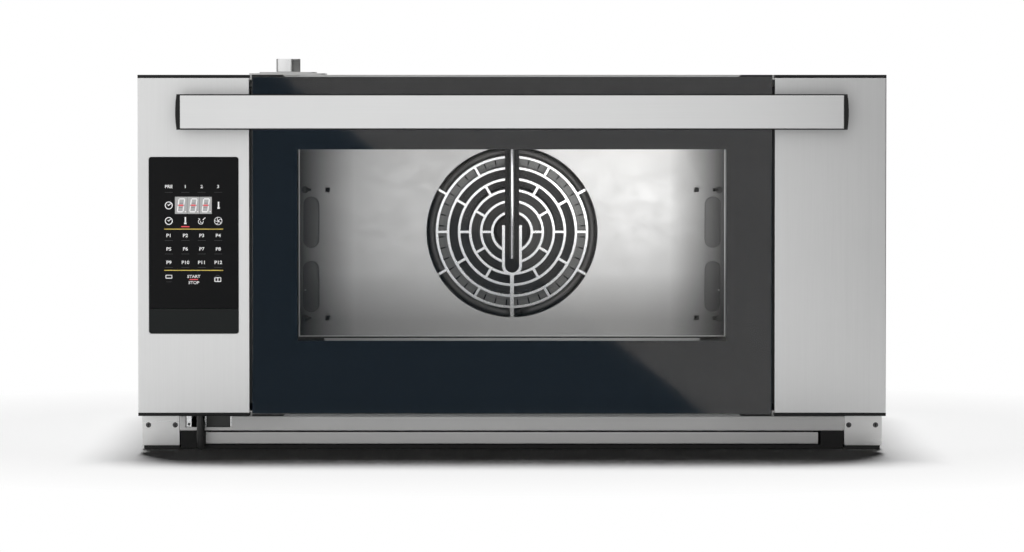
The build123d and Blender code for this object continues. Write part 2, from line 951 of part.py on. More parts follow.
def pipe_nut():
    z0 = cavity_top + steel
    nut = extrude(Plane.XY.offset(z0) * RegularPolygon(8, 6), amount=8)
    return Pos(0, pipe_y(), 0) * (nut - Cylinder(pipe_radius + running_gap, 2 * z0 + 40))


def chimney_tube():
    """Thinner through the body, with the full diameter only above the flanges."""
    step = body_height + lower_flange_thickness + upper_flange_thickness + seam
    top = body_height + chimney_rise
    tube = post(chimney_x, chimney_y, chimney_neck, cavity_top + 0.2, step)
    tube += post(chimney_x, chimney_y, chimney_radius, step, top)
    tube -= post(chimney_x, chimney_y, chimney_radius - chimney_wall, cavity_top - 1, top + 1)
    return fillet(tube.edges().group_by(Axis.Z)[-1], chimney_wall / 2.5)


def chimney_flange(size, z0, thickness):
    sheet = RectangleRounded(size, size, 5) - Circle(chimney_neck + seam)
    return Pos(chimney_x, chimney_y, z0) * extrude(sheet, amount=thickness)


# Rear and the electrics
def rear_y():
    return body_back - rear_recess


def rear_panel():
    outline = arch(half_width - steel - seam, base_top, body_height - steel - seam, 3)
    for x in (-280, -30, 90):
        for row in range(vent_count):
            z = body_height - vent_drop + row * vent_pitch
            outline -= Pos(x * half_width / 400, z) * SlotOverall(vent_length, vent_height)
    outline -= Pos(gland_x, fitting_z) * Circle(gland_thread + seam)
    outline -= Pos(inlet_x, fitting_z) * Circle(inlet_thread + seam)
    return plate(outline, rear_y(), rear_y() + steel)


def cable_gland():
    """Threaded body through the panel, a nut on each side and the clamping sleeve."""
    y = rear_y()
    hexagon = Pos(gland_x, fitting_z) * RegularPolygon(fitting_nut, 6)
    body = rod(gland_x, fitting_z, gland_thread, y - 12, body_back - 1)
    body += plate(hexagon, y + steel, y + 7)
    body += plate(hexagon, y - 5, y - seam)
    return body - rod(gland_x, fitting_z, gland_bore, y - 13, body_back + 1)


def water_inlet():
    """Hose nipple with its thread outside the panel and a nut inside."""
    y = rear_y()
    thread_start = y + 2
    hexagon = Pos(inlet_x, fitting_z) * RegularPolygon(fitting_nut, 6)
    body = rod(inlet_x, fitting_z, inlet_neck, y - 12, thread_start)
    body += rod(inlet_x, fitting_z, inlet_thread, thread_start, body_back - 1.5)
    body += plate(hexagon, y - 6, y - seam)
    return body - rod(inlet_x, fitting_z, inlet_bore, y - 13, body_back + 1)


def electronics_tray():
    """Upright sheet beside the cavity, with a foot on the base."""
    x0 = -half_width + steel + tray_sheet_inset
    upright = block(x0, x0 + steel, tray_sheet_front, tray_sheet_back, base_top, tray_sheet_top)
    foot = block(x0 - 14, x0, tray_sheet_front, tray_sheet_back, base_top, base_top + steel)
    return upright + foot


def power_board():
    """Board on four pillars, with a transformer, a choke, a terminal strip and four relays."""
    stand = -half_width + steel + tray_sheet_inset
    back = stand - board_stand
    face = back - board_sheet
    y0 = tray_sheet_front + board_margin
    y1 = tray_sheet_back - board_margin
    top = tray_sheet_top - board_margin
    board = block(face, back, y0, y1, board_low, top)
    for y in (y0 + 10, y1 - 10):
        for z in (board_low + 10, top - 10):
            board += cross_rod(y, z, 3, back, stand)
    length = y1 - y0
    height = top - board_low

    def component(reach, start, end, low, high):
        return block(face - reach, face, y0 + start * length, y0 + end * length,
                     board_low + low * height, board_low + high * height)

    board += component(24, 0.10, 0.28, 0.21, 0.47)
    board += component(18, 0.34, 0.45, 0.16, 0.79)
    board += component(15, 0.52, 0.86, 0.10, 0.21)
    for index in range(4):
        low = 0.34 + index * 0.147
        board += component(16, 0.59, 0.68, low, low + 0.095)
    return board


# Door: frame, glass, fascias
def window_outline(grow):
    half = window_half_width + grow
    return rounded(-half, half, window_bottom - grow, window_top + grow, 6 + grow / 4)


def door_frame():
    half = half_width - steel - seam
    low = door_bottom + trim_height + seam
    top = door_top - trim_height - seam
    back_low = door_bottom + frame_lift
    tunnel = frame_tunnel
    rebate = inner_glass_margin + 2
    d0 = door_front + 6.2
    sheet_y = door_back - thick_steel
    back_sheet = rectangle(-half, half, back_low, top) - window_outline(rebate + 0.5)
    frame = plate(back_sheet, sheet_y, door_back)
    ledge_y = door_back - inner_glass_thickness - thick_steel - 0.6
    step = window_outline(rebate + 2) - window_outline(rebate + 0.5)
    frame += plate(step, ledge_y, sheet_y + 0.2)
    frame += plate(window_outline(rebate + 2) - window_outline(tunnel), ledge_y, ledge_y + thick_steel)
    wall = window_outline(tunnel + thick_steel) - window_outline(tunnel)
    frame += plate(wall, door_front + glass_thickness + 2, ledge_y + 0.2)
    side = block(half - thick_steel, half, d0, sheet_y + 0.2, back_low, top)
    frame += both_sides(side)
    frame += block(-half, half, d0, sheet_y + 0.2, top - thick_steel, top)
    bevel_y = hinge_y
    bottom = Polyline(
        (d0 + 2, low),
        (bevel_y, low),
        (door_back, back_low),
        (door_back, back_low + 2),
        (door_back - thick_steel, back_low + 2),
        (bevel_y - 0.4, low + thick_steel),
        (d0 + 2, low + thick_steel),
        close=True,
    )
    frame += slab(make_face(bottom), -half, half)
    notch = block(
        arm_x - arm_notch_half,
        arm_x + arm_notch_half,
        hinge_y - arm_height / 2 - 1.5,
        door_back + 1,
        low - 1,
        hinge_z + arm_height / 2 + 3,
    )
    wire_hole = post(conduit_x, conduit_exit_y, conduit_radius + 3, low - 1, low + 5)
    return frame - both_sides(notch) - wire_hole


def outer_glass():
    low = door_bottom + glass_notch
    top = door_top - glass_notch
    y = door_front + seam
    pane = plate(rectangle(-glass_half_width, glass_half_width, low, top), y, y + glass_thickness)
    return chamfer(pane.faces().sort_by(Axis.Y)[0].edges(), glass_bevel)


def glass_print():
    """The black border on the back of the outer glass."""
    low = door_bottom + glass_notch
    top = door_top - glass_notch
    y = door_front + seam + glass_thickness + print_gap
    border = rectangle(-glass_half_width, glass_half_width, low, top)
    border -= rounded(-window_half_width, window_half_width, window_bottom, window_top, 1.5)
    return plate(border, y, y + print_thickness)


def glass_clips():
    """Black corner pieces that hold the top and bottom edges of the glass."""
    x1 = glass_half_width
    x0 = x1 - clip_width
    y0 = door_front + seam
    y1 = door_front + 20
    top = door_top - glass_notch
    lip = Polyline((x0, top), (x1, top), (x1, door_top), (x0 + 2, door_top), close=True)
    upper = plate(make_face(lip), y0, y1)
    upper += block(x0, x1, y0 + glass_thickness + 0.5, y0 + glass_thickness + 1.5, top - 10, top)
    low = door_bottom + glass_notch
    toe = Polyline((x0, low), (x1, low), (x1, door_bottom), (x0 + 2, door_bottom), close=True)
    lower = plate(make_face(toe), y0, y1)
    lower += block(x0, x1, y0 + glass_thickness + 0.5, y0 + glass_thickness + 1.5, low, low + 10)
    return both_sides(upper + lower)


def glass_post():
    """Right-hand upright that the edge of the outer glass is bonded to."""
    x1 = half_width - fascia_width - 0.4
    x0 = x1 - 18
    y0 = door_front + seam + glass_thickness + 0.5
    y1 = y0 + 14
    low = door_bottom + trim_height + 10
    top = door_top - trim_height - 9
    channel = rectangle(x0, x1, y0, y1) - rectangle(x0 + thick_steel, x1 - thick_steel, y0 + thick_steel, y1)
    return extrude(Plane.XY.offset(low) * channel, amount=top - low)


def inner_glass():
    y1 = door_back - 0.3
    return plate(window_outline(inner_glass_margin), y1 - inner_glass_thickness, y1)


def inner_glass_clips():
    """Four small steel clips, on the inside of the door, that hold the inner glass."""
    x = window_half_width - 30
    clips = None
    for z, way in ((window_top + inner_glass_margin, 1), (window_bottom - inner_glass_margin, -1)):
        low, high = sorted((z - 8 * way, z + 11 * way))
        clip = block(x - 9, x + 9, door_back, door_back + 1.2, low, high)
        clip += rod(x, z + 7 * way, 2.8, door_back + 1.2, door_back + 2.4)
        clips = clip if clips is None else clips + clip
    return both_sides(clips)


def fascia(side, opening=None):
    """Steel front panel on one side of the glass, folded back at both edges."""
    inner = half_width - fascia_width
    low = door_bottom + trim_height
    top = door_top - trim_height
    y = door_front
    face = rectangle(inner, half_width, low, top)
    pan = plate(face, y, y + steel)
    pan += block(half_width - steel, half_width, y, y + fascia_return, low, top)
    pan += block(inner, inner + steel, y, y + 18, low + 2.4, top - 2.4)
    corner = pan.edges().filter_by(Axis.Z).filter_by(lambda e: abs(e.center().X - half_width) < 0.01)
    corner = corner.sort_by(Axis.Y)[0:1]
    pan = fillet(corner, 1.0)
    if side < 0:
        pan = mirrored(pan)
    if opening is not None:
        pan -= opening
    return pan


def fascia_trims():
    """Black strips along the top and bottom edges of both fascias, notched for the hinge arms."""
    inner = half_width - fascia_width
    strips = None
    for z0 in (door_bottom, door_top - trim_height):
        strip = block(inner, half_width, door_front, door_front + fascia_return, z0, z0 + trim_height)
        strip = fillet(strip.edges().filter_by(Axis.X).sort_by(Axis.Y)[0:2], 0.8)
        strips = strip if strips is None else strips + strip
    strips -= block(
        arm_x - arm_notch_half,
        arm_x + arm_notch_half,
        hinge_y - arm_height / 2 - 2.5,
        door_front + fascia_return + 1,
        door_bottom - 1,
        door_bottom + trim_height + 1,
    )
    return both_sides(strips) - post(conduit_x, conduit_exit_y, conduit_radius + 1.8, 0, door_bottom + 6)


# Handle
def handle_outline(grow):
    middle = handle_top - handle_height / 2
    half = handle_height / 2 + grow
    return middle - half, middle + half


def handle_face():
    z0, z1 = handle_outline(0)
    face = block(-handle_half, handle_half, handle_front, handle_front + 2, z0, z1)
    edges = face.edges().filter_by(Axis.X).sort_by(Axis.Y)[0:2]
    return fillet(edges, 0.8)


def handle_core():
    z0, z1 = handle_outline(core_lip)
    y0 = handle_front + 2
    y1 = handle_front + handle_depth
    body = block(-handle_half, handle_half, y0, y1, z0, z1)
    edges = body.edges().filter_by(Axis.X).sort_by(Axis.Y)[-2:]
    return fillet(edges, 4)


def handle_caps():
    z0, z1 = handle_outline(core_lip)
    y0 = handle_front + 0.2
    y1 = handle_front + handle_depth
    x0 = handle_half
    middle = (z0 + z1) / 2
    x1 = x0 + cap_width - cap_bow
    outline = Polyline((x0, z1), (x0, z0), (x1, z0))
    bow = ThreePointArc((x1, z0), (x0 + cap_width, middle), (x1, z1))
    lid = Line((x1, z1), (x0, z1))
    cap = plate(make_face(outline + bow + lid), y0, y1)
    return both_sides(cap)


def handle_standoffs():
    z0, z1 = handle_outline(-4)
    y0 = handle_front + handle_depth
    x0 = standoff_x - standoff_width / 2
    body = block(x0, x0 + standoff_width, y0, door_front, z0, z1)
    body = fillet(body.edges().filter_by(Axis.Y), 5)
    return both_sides(body)


# Control panel
def panel_outline(z0, z1):
    whole = rounded(panel_left, panel_right, panel_bottom, panel_top, panel_corner)
    return whole & rectangle(panel_left, panel_right, z0, z1)


def control_glass():
    sketch = panel_outline(panel_seam + 0.2, panel_top)
    y0 = door_front - panel_proud
    return plate(sketch, y0, y0 + panel_glass)


def control_cover():
    sketch = panel_outline(panel_bottom, panel_seam - 0.2)
    y0 = door_front - panel_proud
    return plate(sketch, y0, y0 + panel_glass)


def panel_opening():
    sketch = rounded(
        panel_left - seam, panel_right + seam, panel_bottom - seam, panel_top + seam, panel_corner + seam
    )
    return plate(sketch, door_front - 1, door_front + 3)


def control_box():
    """Open box behind the panel, with a rim that clamps the fascia and four pillars for the board."""
    y0 = door_front - panel_proud + panel_glass
    y1 = y0 + box_depth
    outer = rectangle(panel_left, panel_right, panel_bottom, panel_top)
    inner = rectangle(
        panel_left + box_wall, panel_right - box_wall, panel_bottom + box_wall, panel_top - box_wall
    )
    box = plate(outer - inner, y0, y1) + plate(outer, y1 - box_wall, y1)
    rim = rectangle(
        panel_left - box_rim, panel_right + box_rim, panel_bottom - box_rim, panel_top + box_rim
    )
    rim_y = door_front + steel + seam
    box += plate(rim - outer, rim_y, rim_y + box_wall)
    for x in (panel_left + 8, panel_right - 8):
        for z in (panel_bottom + 10, panel_top - 10):
            box += rod(x, z, 2.5, y0 + board_gap + board_sheet, y1 - 1)
    return box


def control_board():
    y0 = door_front - panel_proud + panel_glass + board_gap
    edge = box_wall + 1
    low = panel_bottom + 2 * box_wall
    high = panel_top - 2 * box_wall
    return block(panel_left + edge, panel_right - edge, y0, y0 + board_sheet, low, high)


def display_module():
    y0 = door_front - panel_proud + panel_glass
    return block(display_left, display_right, y0, y0 + board_gap, display_bottom, display_top)


# Hinges
def hinge_arm():
    """Right-hand arm, fixed in the body, with the eye that the door turns on."""
    back = body_front + arm_reach
    half = arm_height / 2
    outline = Pos(hinge_y, hinge_z) * Circle(half)
    outline += rectangle(hinge_y, back, hinge_z - half, hinge_z + half)
    outline -= Pos(hinge_y, hinge_z) * Circle(hinge_radius + running_gap)
    return slab(outline, arm_x - arm_thickness / 2, arm_x + arm_thickness / 2)


def hinge_mount():
    """Right-hand pocket behind the front frame that carries the arm."""
    y0 = body_front + thick_steel
    y1 = body_front + arm_reach + 4
    wall = 2
    gap = arm_thickness / 2
    z0 = base_top
    z1 = hinge_z + arm_height / 2 + 6
    pocket = block(arm_x - gap - wall, arm_x + gap + wall, y0, y1, z0, z1)
    pocket += block(arm_x - gap - 12, arm_x + gap + 12, y0, y0 + wall, z0, z1)
    pocket -= block(
        arm_x - gap,
        arm_x + gap,
        y0 - 1,
        body_front + arm_reach,
        hinge_z - arm_height / 2,
        hinge_z + arm_height / 2,
    )
    return pocket


def door_hinge():
    """Right-hand bracket in the door: two cheeks and the web that joins them."""
    inner = arm_x - arm_thickness / 2 - cheek_gap
    outer = arm_x + arm_thickness / 2 + cheek_gap
    x0 = inner - cheek_thickness
    x1 = outer + cheek_thickness
    front = hinge_y - 17
    web_y = front + cheek_thickness
    z0 = door_bottom + trim_height + seam + thick_steel + seam
    z1 = hinge_z + 24
    outline = Polyline(
        (front, z0), (hinge_y - 1, z0), (hinge_y + 8, z0 + 5.4), (hinge_y + 8, z1), (front, z1), close=True
    )
    cheek = make_face(outline) - Pos(hinge_y, hinge_z) * Circle(hinge_radius)
    bracket = slab(cheek, x0, inner) + slab(cheek, outer, x1)
    return bracket + block(inner, outer, front, web_y, z0, z1)


def hinge_pins():
    inner = arm_x - arm_thickness / 2 - cheek_gap - cheek_thickness
    outer = arm_x + arm_thickness / 2 + cheek_gap + cheek_thickness
    pin = cross_rod(hinge_y, hinge_z, hinge_radius - running_gap, inner - 2, outer)
    head = cross_rod(hinge_y, hinge_z, hinge_radius + 2, outer, outer + 2.5)
    return both_sides(pin + head)


fixed_parts = {
    "outer_casing": outer_casing(),
    "front_frame": front_frame(),
    "base_frame": base_frame(),
    "corner_plates": both_sides(corner_plate()),
    "corner_screws": corner_screws(),
    "foot_pads": foot_pads(),
    "front_rail": front_rail(),
    "inlet_bracket": inlet_bracket(),
    "inlet_cover": inlet_cover(),
    "tray_housing": tray_housing(),
    "drip_tray": drip_tray(),
    "control_conduit": conduit_tube(conduit_radius),
    "conduit_grommet": conduit_grommet(),
    "cavity_liner": cavity_liner(),
    "insulation": insulation(),
    "door_gasket": door_gasket(),
    "fan_guard": fan_guard(),
    "guard_posts": guard_posts(),
    "guard_studs": guard_studs(),
    "heating_element": heating_element(),
    "steam_pipe": steam_pipe(),
    "pipe_nut": pipe_nut(),
    "cavity_lamp": cavity_lamp(),
    "tray_supports": tray_supports(),
    "motor": motor(),
    "motor_bracket": motor_bracket(),
    "chimney_tube": chimney_tube(),
    "chimney_lower_flange": chimney_flange(lower_flange, body_height, lower_flange_thickness),
    "chimney_upper_flange": chimney_flange(
        upper_flange, body_height + lower_flange_thickness, upper_flange_thickness
    ),
    "rear_panel": rear_panel(),
    "cable_gland": cable_gland(),
    "water_inlet": water_inlet(),
    "electronics_tray": electronics_tray(),
    "power_board": power_board(),
    "hinge_arms": both_sides(hinge_arm()),
    "hinge_mounts": both_sides(hinge_mount()),
}

turning_parts = {
    "fan_wheel": fan_wheel(),
    "fan_nut": fan_nut(),
    "motor_shaft": motor_shaft(),
}

door_parts = {
    "door_frame": door_frame(),
    "outer_glass": outer_glass(),
    "glass_print": glass_print(),
    "glass_clips": glass_clips(),
    "glass_posts": both_sides(glass_post()),
    "inner_glass": inner_glass(),
    "inner_glass_clips": inner_glass_clips(),
    "fascia_right": fascia(1),
    "fascia_left": fascia(-1, panel_opening()),
    "fascia_trims": fascia_trims(),
    "handle_face": handle_face(),
    "handle_core": handle_core(),
    "handle_caps": handle_caps(),
    "handle_standoffs": handle_standoffs(),
    "control_glass": control_glass(),
    "control_cover": control_cover(),
    "control_box": control_box(),
    "control_board": control_board(),
    "display_module": display_module(),
    "door_hinges": both_sides(door_hinge()),
    "hinge_pins": hinge_pins(),
}

for group in (fixed_parts, turning_parts, door_parts):
    for name, part in group.items():
        save(part, name)

radii = ", ".join(f"{radius:.1f}" for radius in conduit_radii())
print(f"conduit arcs have radii of {radii} mm")
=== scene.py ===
import json
import math
import bpy
import bmesh
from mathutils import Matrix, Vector

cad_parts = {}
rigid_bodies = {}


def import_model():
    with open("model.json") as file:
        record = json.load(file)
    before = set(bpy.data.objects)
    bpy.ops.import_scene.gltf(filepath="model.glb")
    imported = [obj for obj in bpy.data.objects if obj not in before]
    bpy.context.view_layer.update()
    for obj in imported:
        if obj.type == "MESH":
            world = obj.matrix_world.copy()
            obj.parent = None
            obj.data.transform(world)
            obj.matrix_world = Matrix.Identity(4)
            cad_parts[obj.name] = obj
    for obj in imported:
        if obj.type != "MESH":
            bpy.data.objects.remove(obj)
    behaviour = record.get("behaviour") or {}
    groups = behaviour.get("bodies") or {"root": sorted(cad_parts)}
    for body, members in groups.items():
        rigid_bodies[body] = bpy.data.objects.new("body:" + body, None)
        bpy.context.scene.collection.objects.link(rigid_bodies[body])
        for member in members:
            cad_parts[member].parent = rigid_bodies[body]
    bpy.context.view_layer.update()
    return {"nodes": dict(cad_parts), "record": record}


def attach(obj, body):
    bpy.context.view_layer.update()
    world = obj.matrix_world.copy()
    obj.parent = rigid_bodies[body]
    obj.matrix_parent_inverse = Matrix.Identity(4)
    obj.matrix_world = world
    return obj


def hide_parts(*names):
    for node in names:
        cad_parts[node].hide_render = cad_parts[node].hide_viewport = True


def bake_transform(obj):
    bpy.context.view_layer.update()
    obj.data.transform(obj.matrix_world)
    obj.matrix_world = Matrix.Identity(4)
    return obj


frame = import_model()
nodes = frame["nodes"]
print("oven loaded,", len(nodes), "nodes")


# ---- small helpers ----
def clearSelection():
    for item in bpy.context.view_layer.objects:
        item.select_set(False)


def pick(piece):
    clearSelection()
    piece.select_set(True)
    bpy.context.view_layer.objects.active = piece


def settle(piece):
    # place, turn and size go into the mesh, so the object sits at the origin
    pick(piece)
    bpy.ops.object.transform_apply(location=True, rotation=True, scale=True)
    return piece


def joinPieces(pieces, name):
    clearSelection()
    for piece in pieces:
        piece.select_set(True)
    bpy.context.view_layer.objects.active = pieces[0]
    if len(pieces) > 1:
        bpy.ops.object.join()
    joined = bpy.context.view_layer.objects.active
    joined.name = name
    return joined


def dress(piece, body, material):
    piece.data.materials.clear()
    piece.data.materials.append(material)
    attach(piece, body)
    return piece


# ---- shared effects ----
def makeGroup(name, inputs, outputs):
    group = bpy.data.node_groups.new(name, "ShaderNodeTree")
    for label, kind, value in inputs:
        socket = group.interface.new_socket(label, in_out="INPUT", socket_type=kind)
        if value is not None:
            socket.default_value = value
    for label, kind in outputs:
        group.interface.new_socket(label, in_out="OUTPUT", socket_type=kind)
    entry = group.nodes.new("NodeGroupInput")
    leave = group.nodes.new("NodeGroupOutput")
    return group, entry, leave


def mathNode(tree, operation, first, second=None, clamp=False):
    node = tree.nodes.new("ShaderNodeMath")
    node.operation = operation
    node.use_clamp = clamp
    for index, value in enumerate((first, second)):
        if value is None:
            continue
        if isinstance(value, (int, float)):
            node.inputs[index].default_value = value
        else:
            tree.links.new(value, node.inputs[index])
    return node.outputs[0]


def colourMix(tree, factor, first, second, blend="MIX"):
    node = tree.nodes.new("ShaderNodeMix")
    node.data_type = "RGBA"
    node.blend_type = blend
    for socket, value in ((node.inputs[0], factor), (node.inputs[6], first), (node.inputs[7], second)):
        if isinstance(value, (int, float)):
            socket.default_value = value
        elif isinstance(value, (tuple, list)):
            socket.default_value = (*value[:3], 1)
        else:
            tree.links.new(value, socket)
    return node.outputs[2]


def rangeNode(tree, value, low, high, newLow, newHigh):
    node = tree.nodes.new("ShaderNodeMapRange")
    tree.links.new(value, node.inputs["Value"])
    for label, number in (("From Min", low), ("From Max", high), ("To Min", newLow), ("To Max", newHigh)):
        if isinstance(number, (int, float)):
            node.inputs[label].default_value = number
        else:
            tree.links.new(number, node.inputs[label])
    return node.outputs["Result"]


def noiseNode(tree, vector, scale, detail=3.0, roughness=0.55):
    node = tree.nodes.new("ShaderNodeTexNoise")
    tree.links.new(vector, node.inputs["Vector"])
    node.inputs["Scale"].default_value = scale
    node.inputs["Detail"].default_value = detail
    node.inputs["Roughness"].default_value = roughness
    return node.outputs["Fac"]


def vectorNode(tree, operation, first, second=None):
    node = tree.nodes.new("ShaderNodeVectorMath")
    node.operation = operation
    tree.links.new(first, node.inputs[0])
    if isinstance(second, tuple):
        node.inputs[1].default_value = second
    elif second is not None:
        tree.links.new(second, node.inputs["Scale" if operation == "SCALE" else 1])
    return node.outputs["Value" if operation in ("LENGTH", "DOT_PRODUCT") else "Vector"]


def bumpNode(tree, height, strength, distance):
    node = tree.nodes.new("ShaderNodeBump")
    node.inputs["Distance"].default_value = distance
    tree.links.new(height, node.inputs["Height"])
    if isinstance(strength, (int, float)):
        node.inputs["Strength"].default_value = strength
    else:
        tree.links.new(strength, node.inputs["Strength"])
    return node.outputs["Normal"]


def bevelNode(tree, radius):
    node = tree.nodes.new("ShaderNodeBevel")
    node.samples = 6
    node.inputs["Radius"].default_value = radius
    return node


def sendOut(group, leave, **values):
    for label, value in values.items():
        group.links.new(value, leave.inputs[label])


def buildBrushedGrain():
    # long fine scratches, soft clouding and a few deeper lines, as on rolled and brushed sheet
    group, entry, leave = makeGroup(
        "brushedGrain",
        [("Vector", "NodeSocketVector", None), ("Stretch", "NodeSocketVector", (1, 1, 1)),
         ("Colour", "NodeSocketColor", (0.6, 0.6, 0.6, 1)), ("Roughness", "NodeSocketFloat", 0.35),
         ("Contrast", "NodeSocketFloat", 0.1), ("Clouding", "NodeSocketFloat", 0.08),
         ("Depth", "NodeSocketFloat", 0.2)],
        [("Colour", "NodeSocketColor"), ("Roughness", "NodeSocketFloat"), ("Normal", "NodeSocketVector")])
    stretched = vectorNode(group, "MULTIPLY", entry.outputs["Vector"], entry.outputs["Stretch"])
    fine = noiseNode(group, stretched, 1.0, 4.0, 0.65)
    broad = noiseNode(group, stretched, 0.22, 2.0, 0.5)
    cloud = noiseNode(group, entry.outputs["Vector"], 9.0, 3.0, 0.55)
    streak = mathNode(group, "ADD", mathNode(group, "MULTIPLY", fine, 0.65), mathNode(group, "MULTIPLY", broad, 0.35))
    centred = mathNode(group, "SUBTRACT", streak, 0.5)
    cloudy = mathNode(group, "MULTIPLY", mathNode(group, "SUBTRACT", cloud, 0.5), entry.outputs["Clouding"])
    shade = mathNode(group, "ADD", mathNode(group, "MULTIPLY", centred, entry.outputs["Contrast"]), cloudy)
    level = mathNode(group, "ADD", mathNode(group, "MULTIPLY", shade, 2.0), 1.0)
    haze = mathNode(group, "ADD", mathNode(group, "MULTIPLY", centred, 0.22), mathNode(group, "MULTIPLY", cloudy, 1.6))
    sendOut(group, leave, Colour=vectorNode(group, "SCALE", entry.outputs["Colour"], level),
            Roughness=mathNode(group, "ADD", entry.outputs["Roughness"], haze, True),
            Normal=bumpNode(group, streak, entry.outputs["Depth"], 0.0002))
    return group


def buildMouldedGrain():
    # fine pebbled grain with slight handling marks, as on moulded plastic and rubber
    group, entry, leave = makeGroup(
        "mouldedGrain",
        [("Vector", "NodeSocketVector", None), ("Colour", "NodeSocketColor", (0.03, 0.03, 0.03, 1)),
         ("Roughness", "NodeSocketFloat", 0.5), ("Scale", "NodeSocketFloat", 1800.0),
         ("Depth", "NodeSocketFloat", 0.2), ("Marks", "NodeSocketFloat", 0.3)],
        [("Colour", "NodeSocketColor"), ("Roughness", "NodeSocketFloat"), ("Normal", "NodeSocketVector")])
    cells = group.nodes.new("ShaderNodeTexVoronoi")
    cells.inputs["Detail"].default_value = 0.0
    group.links.new(entry.outputs["Vector"], cells.inputs["Vector"])
    group.links.new(entry.outputs["Scale"], cells.inputs["Scale"])
    soft = mathNode(group, "SUBTRACT", noiseNode(group, entry.outputs["Vector"], 40.0, 4.0, 0.6), 0.5)
    level = mathNode(group, "ADD", mathNode(group, "MULTIPLY", soft, entry.outputs["Marks"]), 1.0)
    sendOut(group, leave, Colour=vectorNode(group, "SCALE", entry.outputs["Colour"], level),
            Roughness=mathNode(group, "ADD", entry.outputs["Roughness"], mathNode(group, "MULTIPLY", soft, 0.25), True),
            Normal=bumpNode(group, cells.outputs["Distance"], entry.outputs["Depth"], 0.00012))
    return group


def buildSoftEdge():
    # rounds hard corners in the shading and marks them for a painted highlight along the arris
    group, entry, leave = makeGroup(
        "softEdge", [("Normal", "NodeSocketVector", None)],
        [("Normal", "NodeSocketVector"), ("Edge", "NodeSocketFloat")])
    rounded = bevelNode(group, 0.0007)
    group.links.new(entry.outputs["Normal"], rounded.inputs["Normal"])
    geometry = group.nodes.new("ShaderNodeNewGeometry")
    flatness = vectorNode(group, "DOT_PRODUCT", bevelNode(group, 0.0009).outputs["Normal"],
                          geometry.outputs["True Normal"])
    sendOut(group, leave, Normal=rounded.outputs["Normal"], Edge=rangeNode(group, flatness, 0.98, 0.8, 0.0, 1.0))
    return group


def buildReachFrom():
    # the distance from an axis along Y, and 0 near that axis and 1 further out than a given radius
    group, entry, leave = makeGroup(
        "reachFrom",
        [("Vector", "NodeSocketVector", None), ("Centre", "NodeSocketVector", (0, 0, 0)),
         ("Start", "NodeSocketFloat", 0.01), ("End", "NodeSocketFloat", 0.02)],
        [("Mask", "NodeSocketFloat"), ("Reach", "NodeSocketFloat")])
    centred = vectorNode(group, "SUBTRACT", entry.outputs["Vector"], entry.outputs["Centre"])
    reach = vectorNode(group, "LENGTH", vectorNode(group, "MULTIPLY", centred, (1.0, 0.0, 1.0)))
    sendOut(group, leave, Reach=reach,
            Mask=rangeNode(group, reach, entry.outputs["Start"], entry.outputs["End"], 0.0, 1.0))
    return group


brushedGrain = buildBrushedGrain()
mouldedGrain = buildMouldedGrain()
softEdge = buildSoftEdge()
reachFrom = buildReachFrom()
fanCentre = (0.0, 0.0, 0.2232)


def startMaterial(name):
    material = bpy.data.materials.new(name)
    material.use_nodes = True
    tree = material.node_tree
    shader = tree.nodes["Principled BSDF"]
    place = tree.nodes.new("ShaderNodeTexCoord").outputs["Object"]
    return material, tree, shader, place


def useGroup(tree, group, **values):
    node = tree.nodes.new("ShaderNodeGroup")
    node.node_tree = group
    for label, value in values.items():
        if isinstance(value, (int, float, tuple)):
            node.inputs[label].default_value = value
        else:
            tree.links.new(value, node.inputs[label])
    return node


def feed(tree, shader, colour, roughness, normal):
    tree.links.new(colour, shader.inputs["Base Color"])
    tree.links.new(roughness, shader.inputs["Roughness"])
    tree.links.new(normal, shader.inputs["Normal"])


def feedEdgeHighlight(tree, shader, grain, edgeGlow, highlightColour):
    # the grain as it is, with a highlight painted along its edges
    edge = useGroup(tree, softEdge, Normal=grain.outputs["Normal"])
    highlightShare = mathNode(tree, "MULTIPLY", edge.outputs["Edge"], edgeGlow)
    bright = colourMix(tree, highlightShare, grain.outputs["Colour"], highlightColour)
    feed(tree, shader, bright, grain.outputs["Roughness"], edge.outputs["Normal"])


def reopen(material):
    # a finished material, to be changed by place on the object
    tree = material.node_tree
    shader = tree.nodes["Principled BSDF"]
    place = tree.nodes.new("ShaderNodeTexCoord").outputs["Object"]
    return material, tree, shader, place, shader.inputs["Base Color"].links[0].from_socket


def sheetSteel(name, colour, roughness, stretch, contrast, clouding, depth, edgeGlow=0.25):
    material, tree, shader, place = startMaterial(name)
    grain = useGroup(tree, brushedGrain, Vector=place, Stretch=stretch, Colour=(*colour, 1), Roughness=roughness,
                     Contrast=contrast, Clouding=clouding, Depth=depth)
    # a highlight is painted along its edges
    feedEdgeHighlight(tree, shader, grain, edgeGlow, (0.95, 0.95, 0.94))
    shader.inputs["Metallic"].default_value = 1.0
    return material


def placeMask(tree, place, axis, low, high):
    # 0 below and 1 above a plane across one axis of the oven, on both sides of the middle for X
    split = tree.nodes.new("ShaderNodeSeparateXYZ")
    tree.links.new(place, split.inputs[0])
    value = mathNode(tree, "ABSOLUTE", split.outputs[axis]) if axis == "X" else split.outputs[axis]
    return rangeNode(tree, value, low, high, 0.0, 1.0)


def cavitySteel(name, colour, chamberShadeColour, roughness, chamberFront):
    # plain sheet, with shade painted darker behind the guard, round the fan
    base = sheetSteel(name, colour, roughness, (26.0, 26.0, 420.0), 0.035, 0.04, 0.05)
    material, tree, shader, place, plain = reopen(base)
    chamberShade = placeMask(tree, place, "Y", chamberFront, chamberFront + 0.001)
    tree.links.new(colourMix(tree, chamberShade, plain, chamberShadeColour), shader.inputs["Base Color"])
    return material
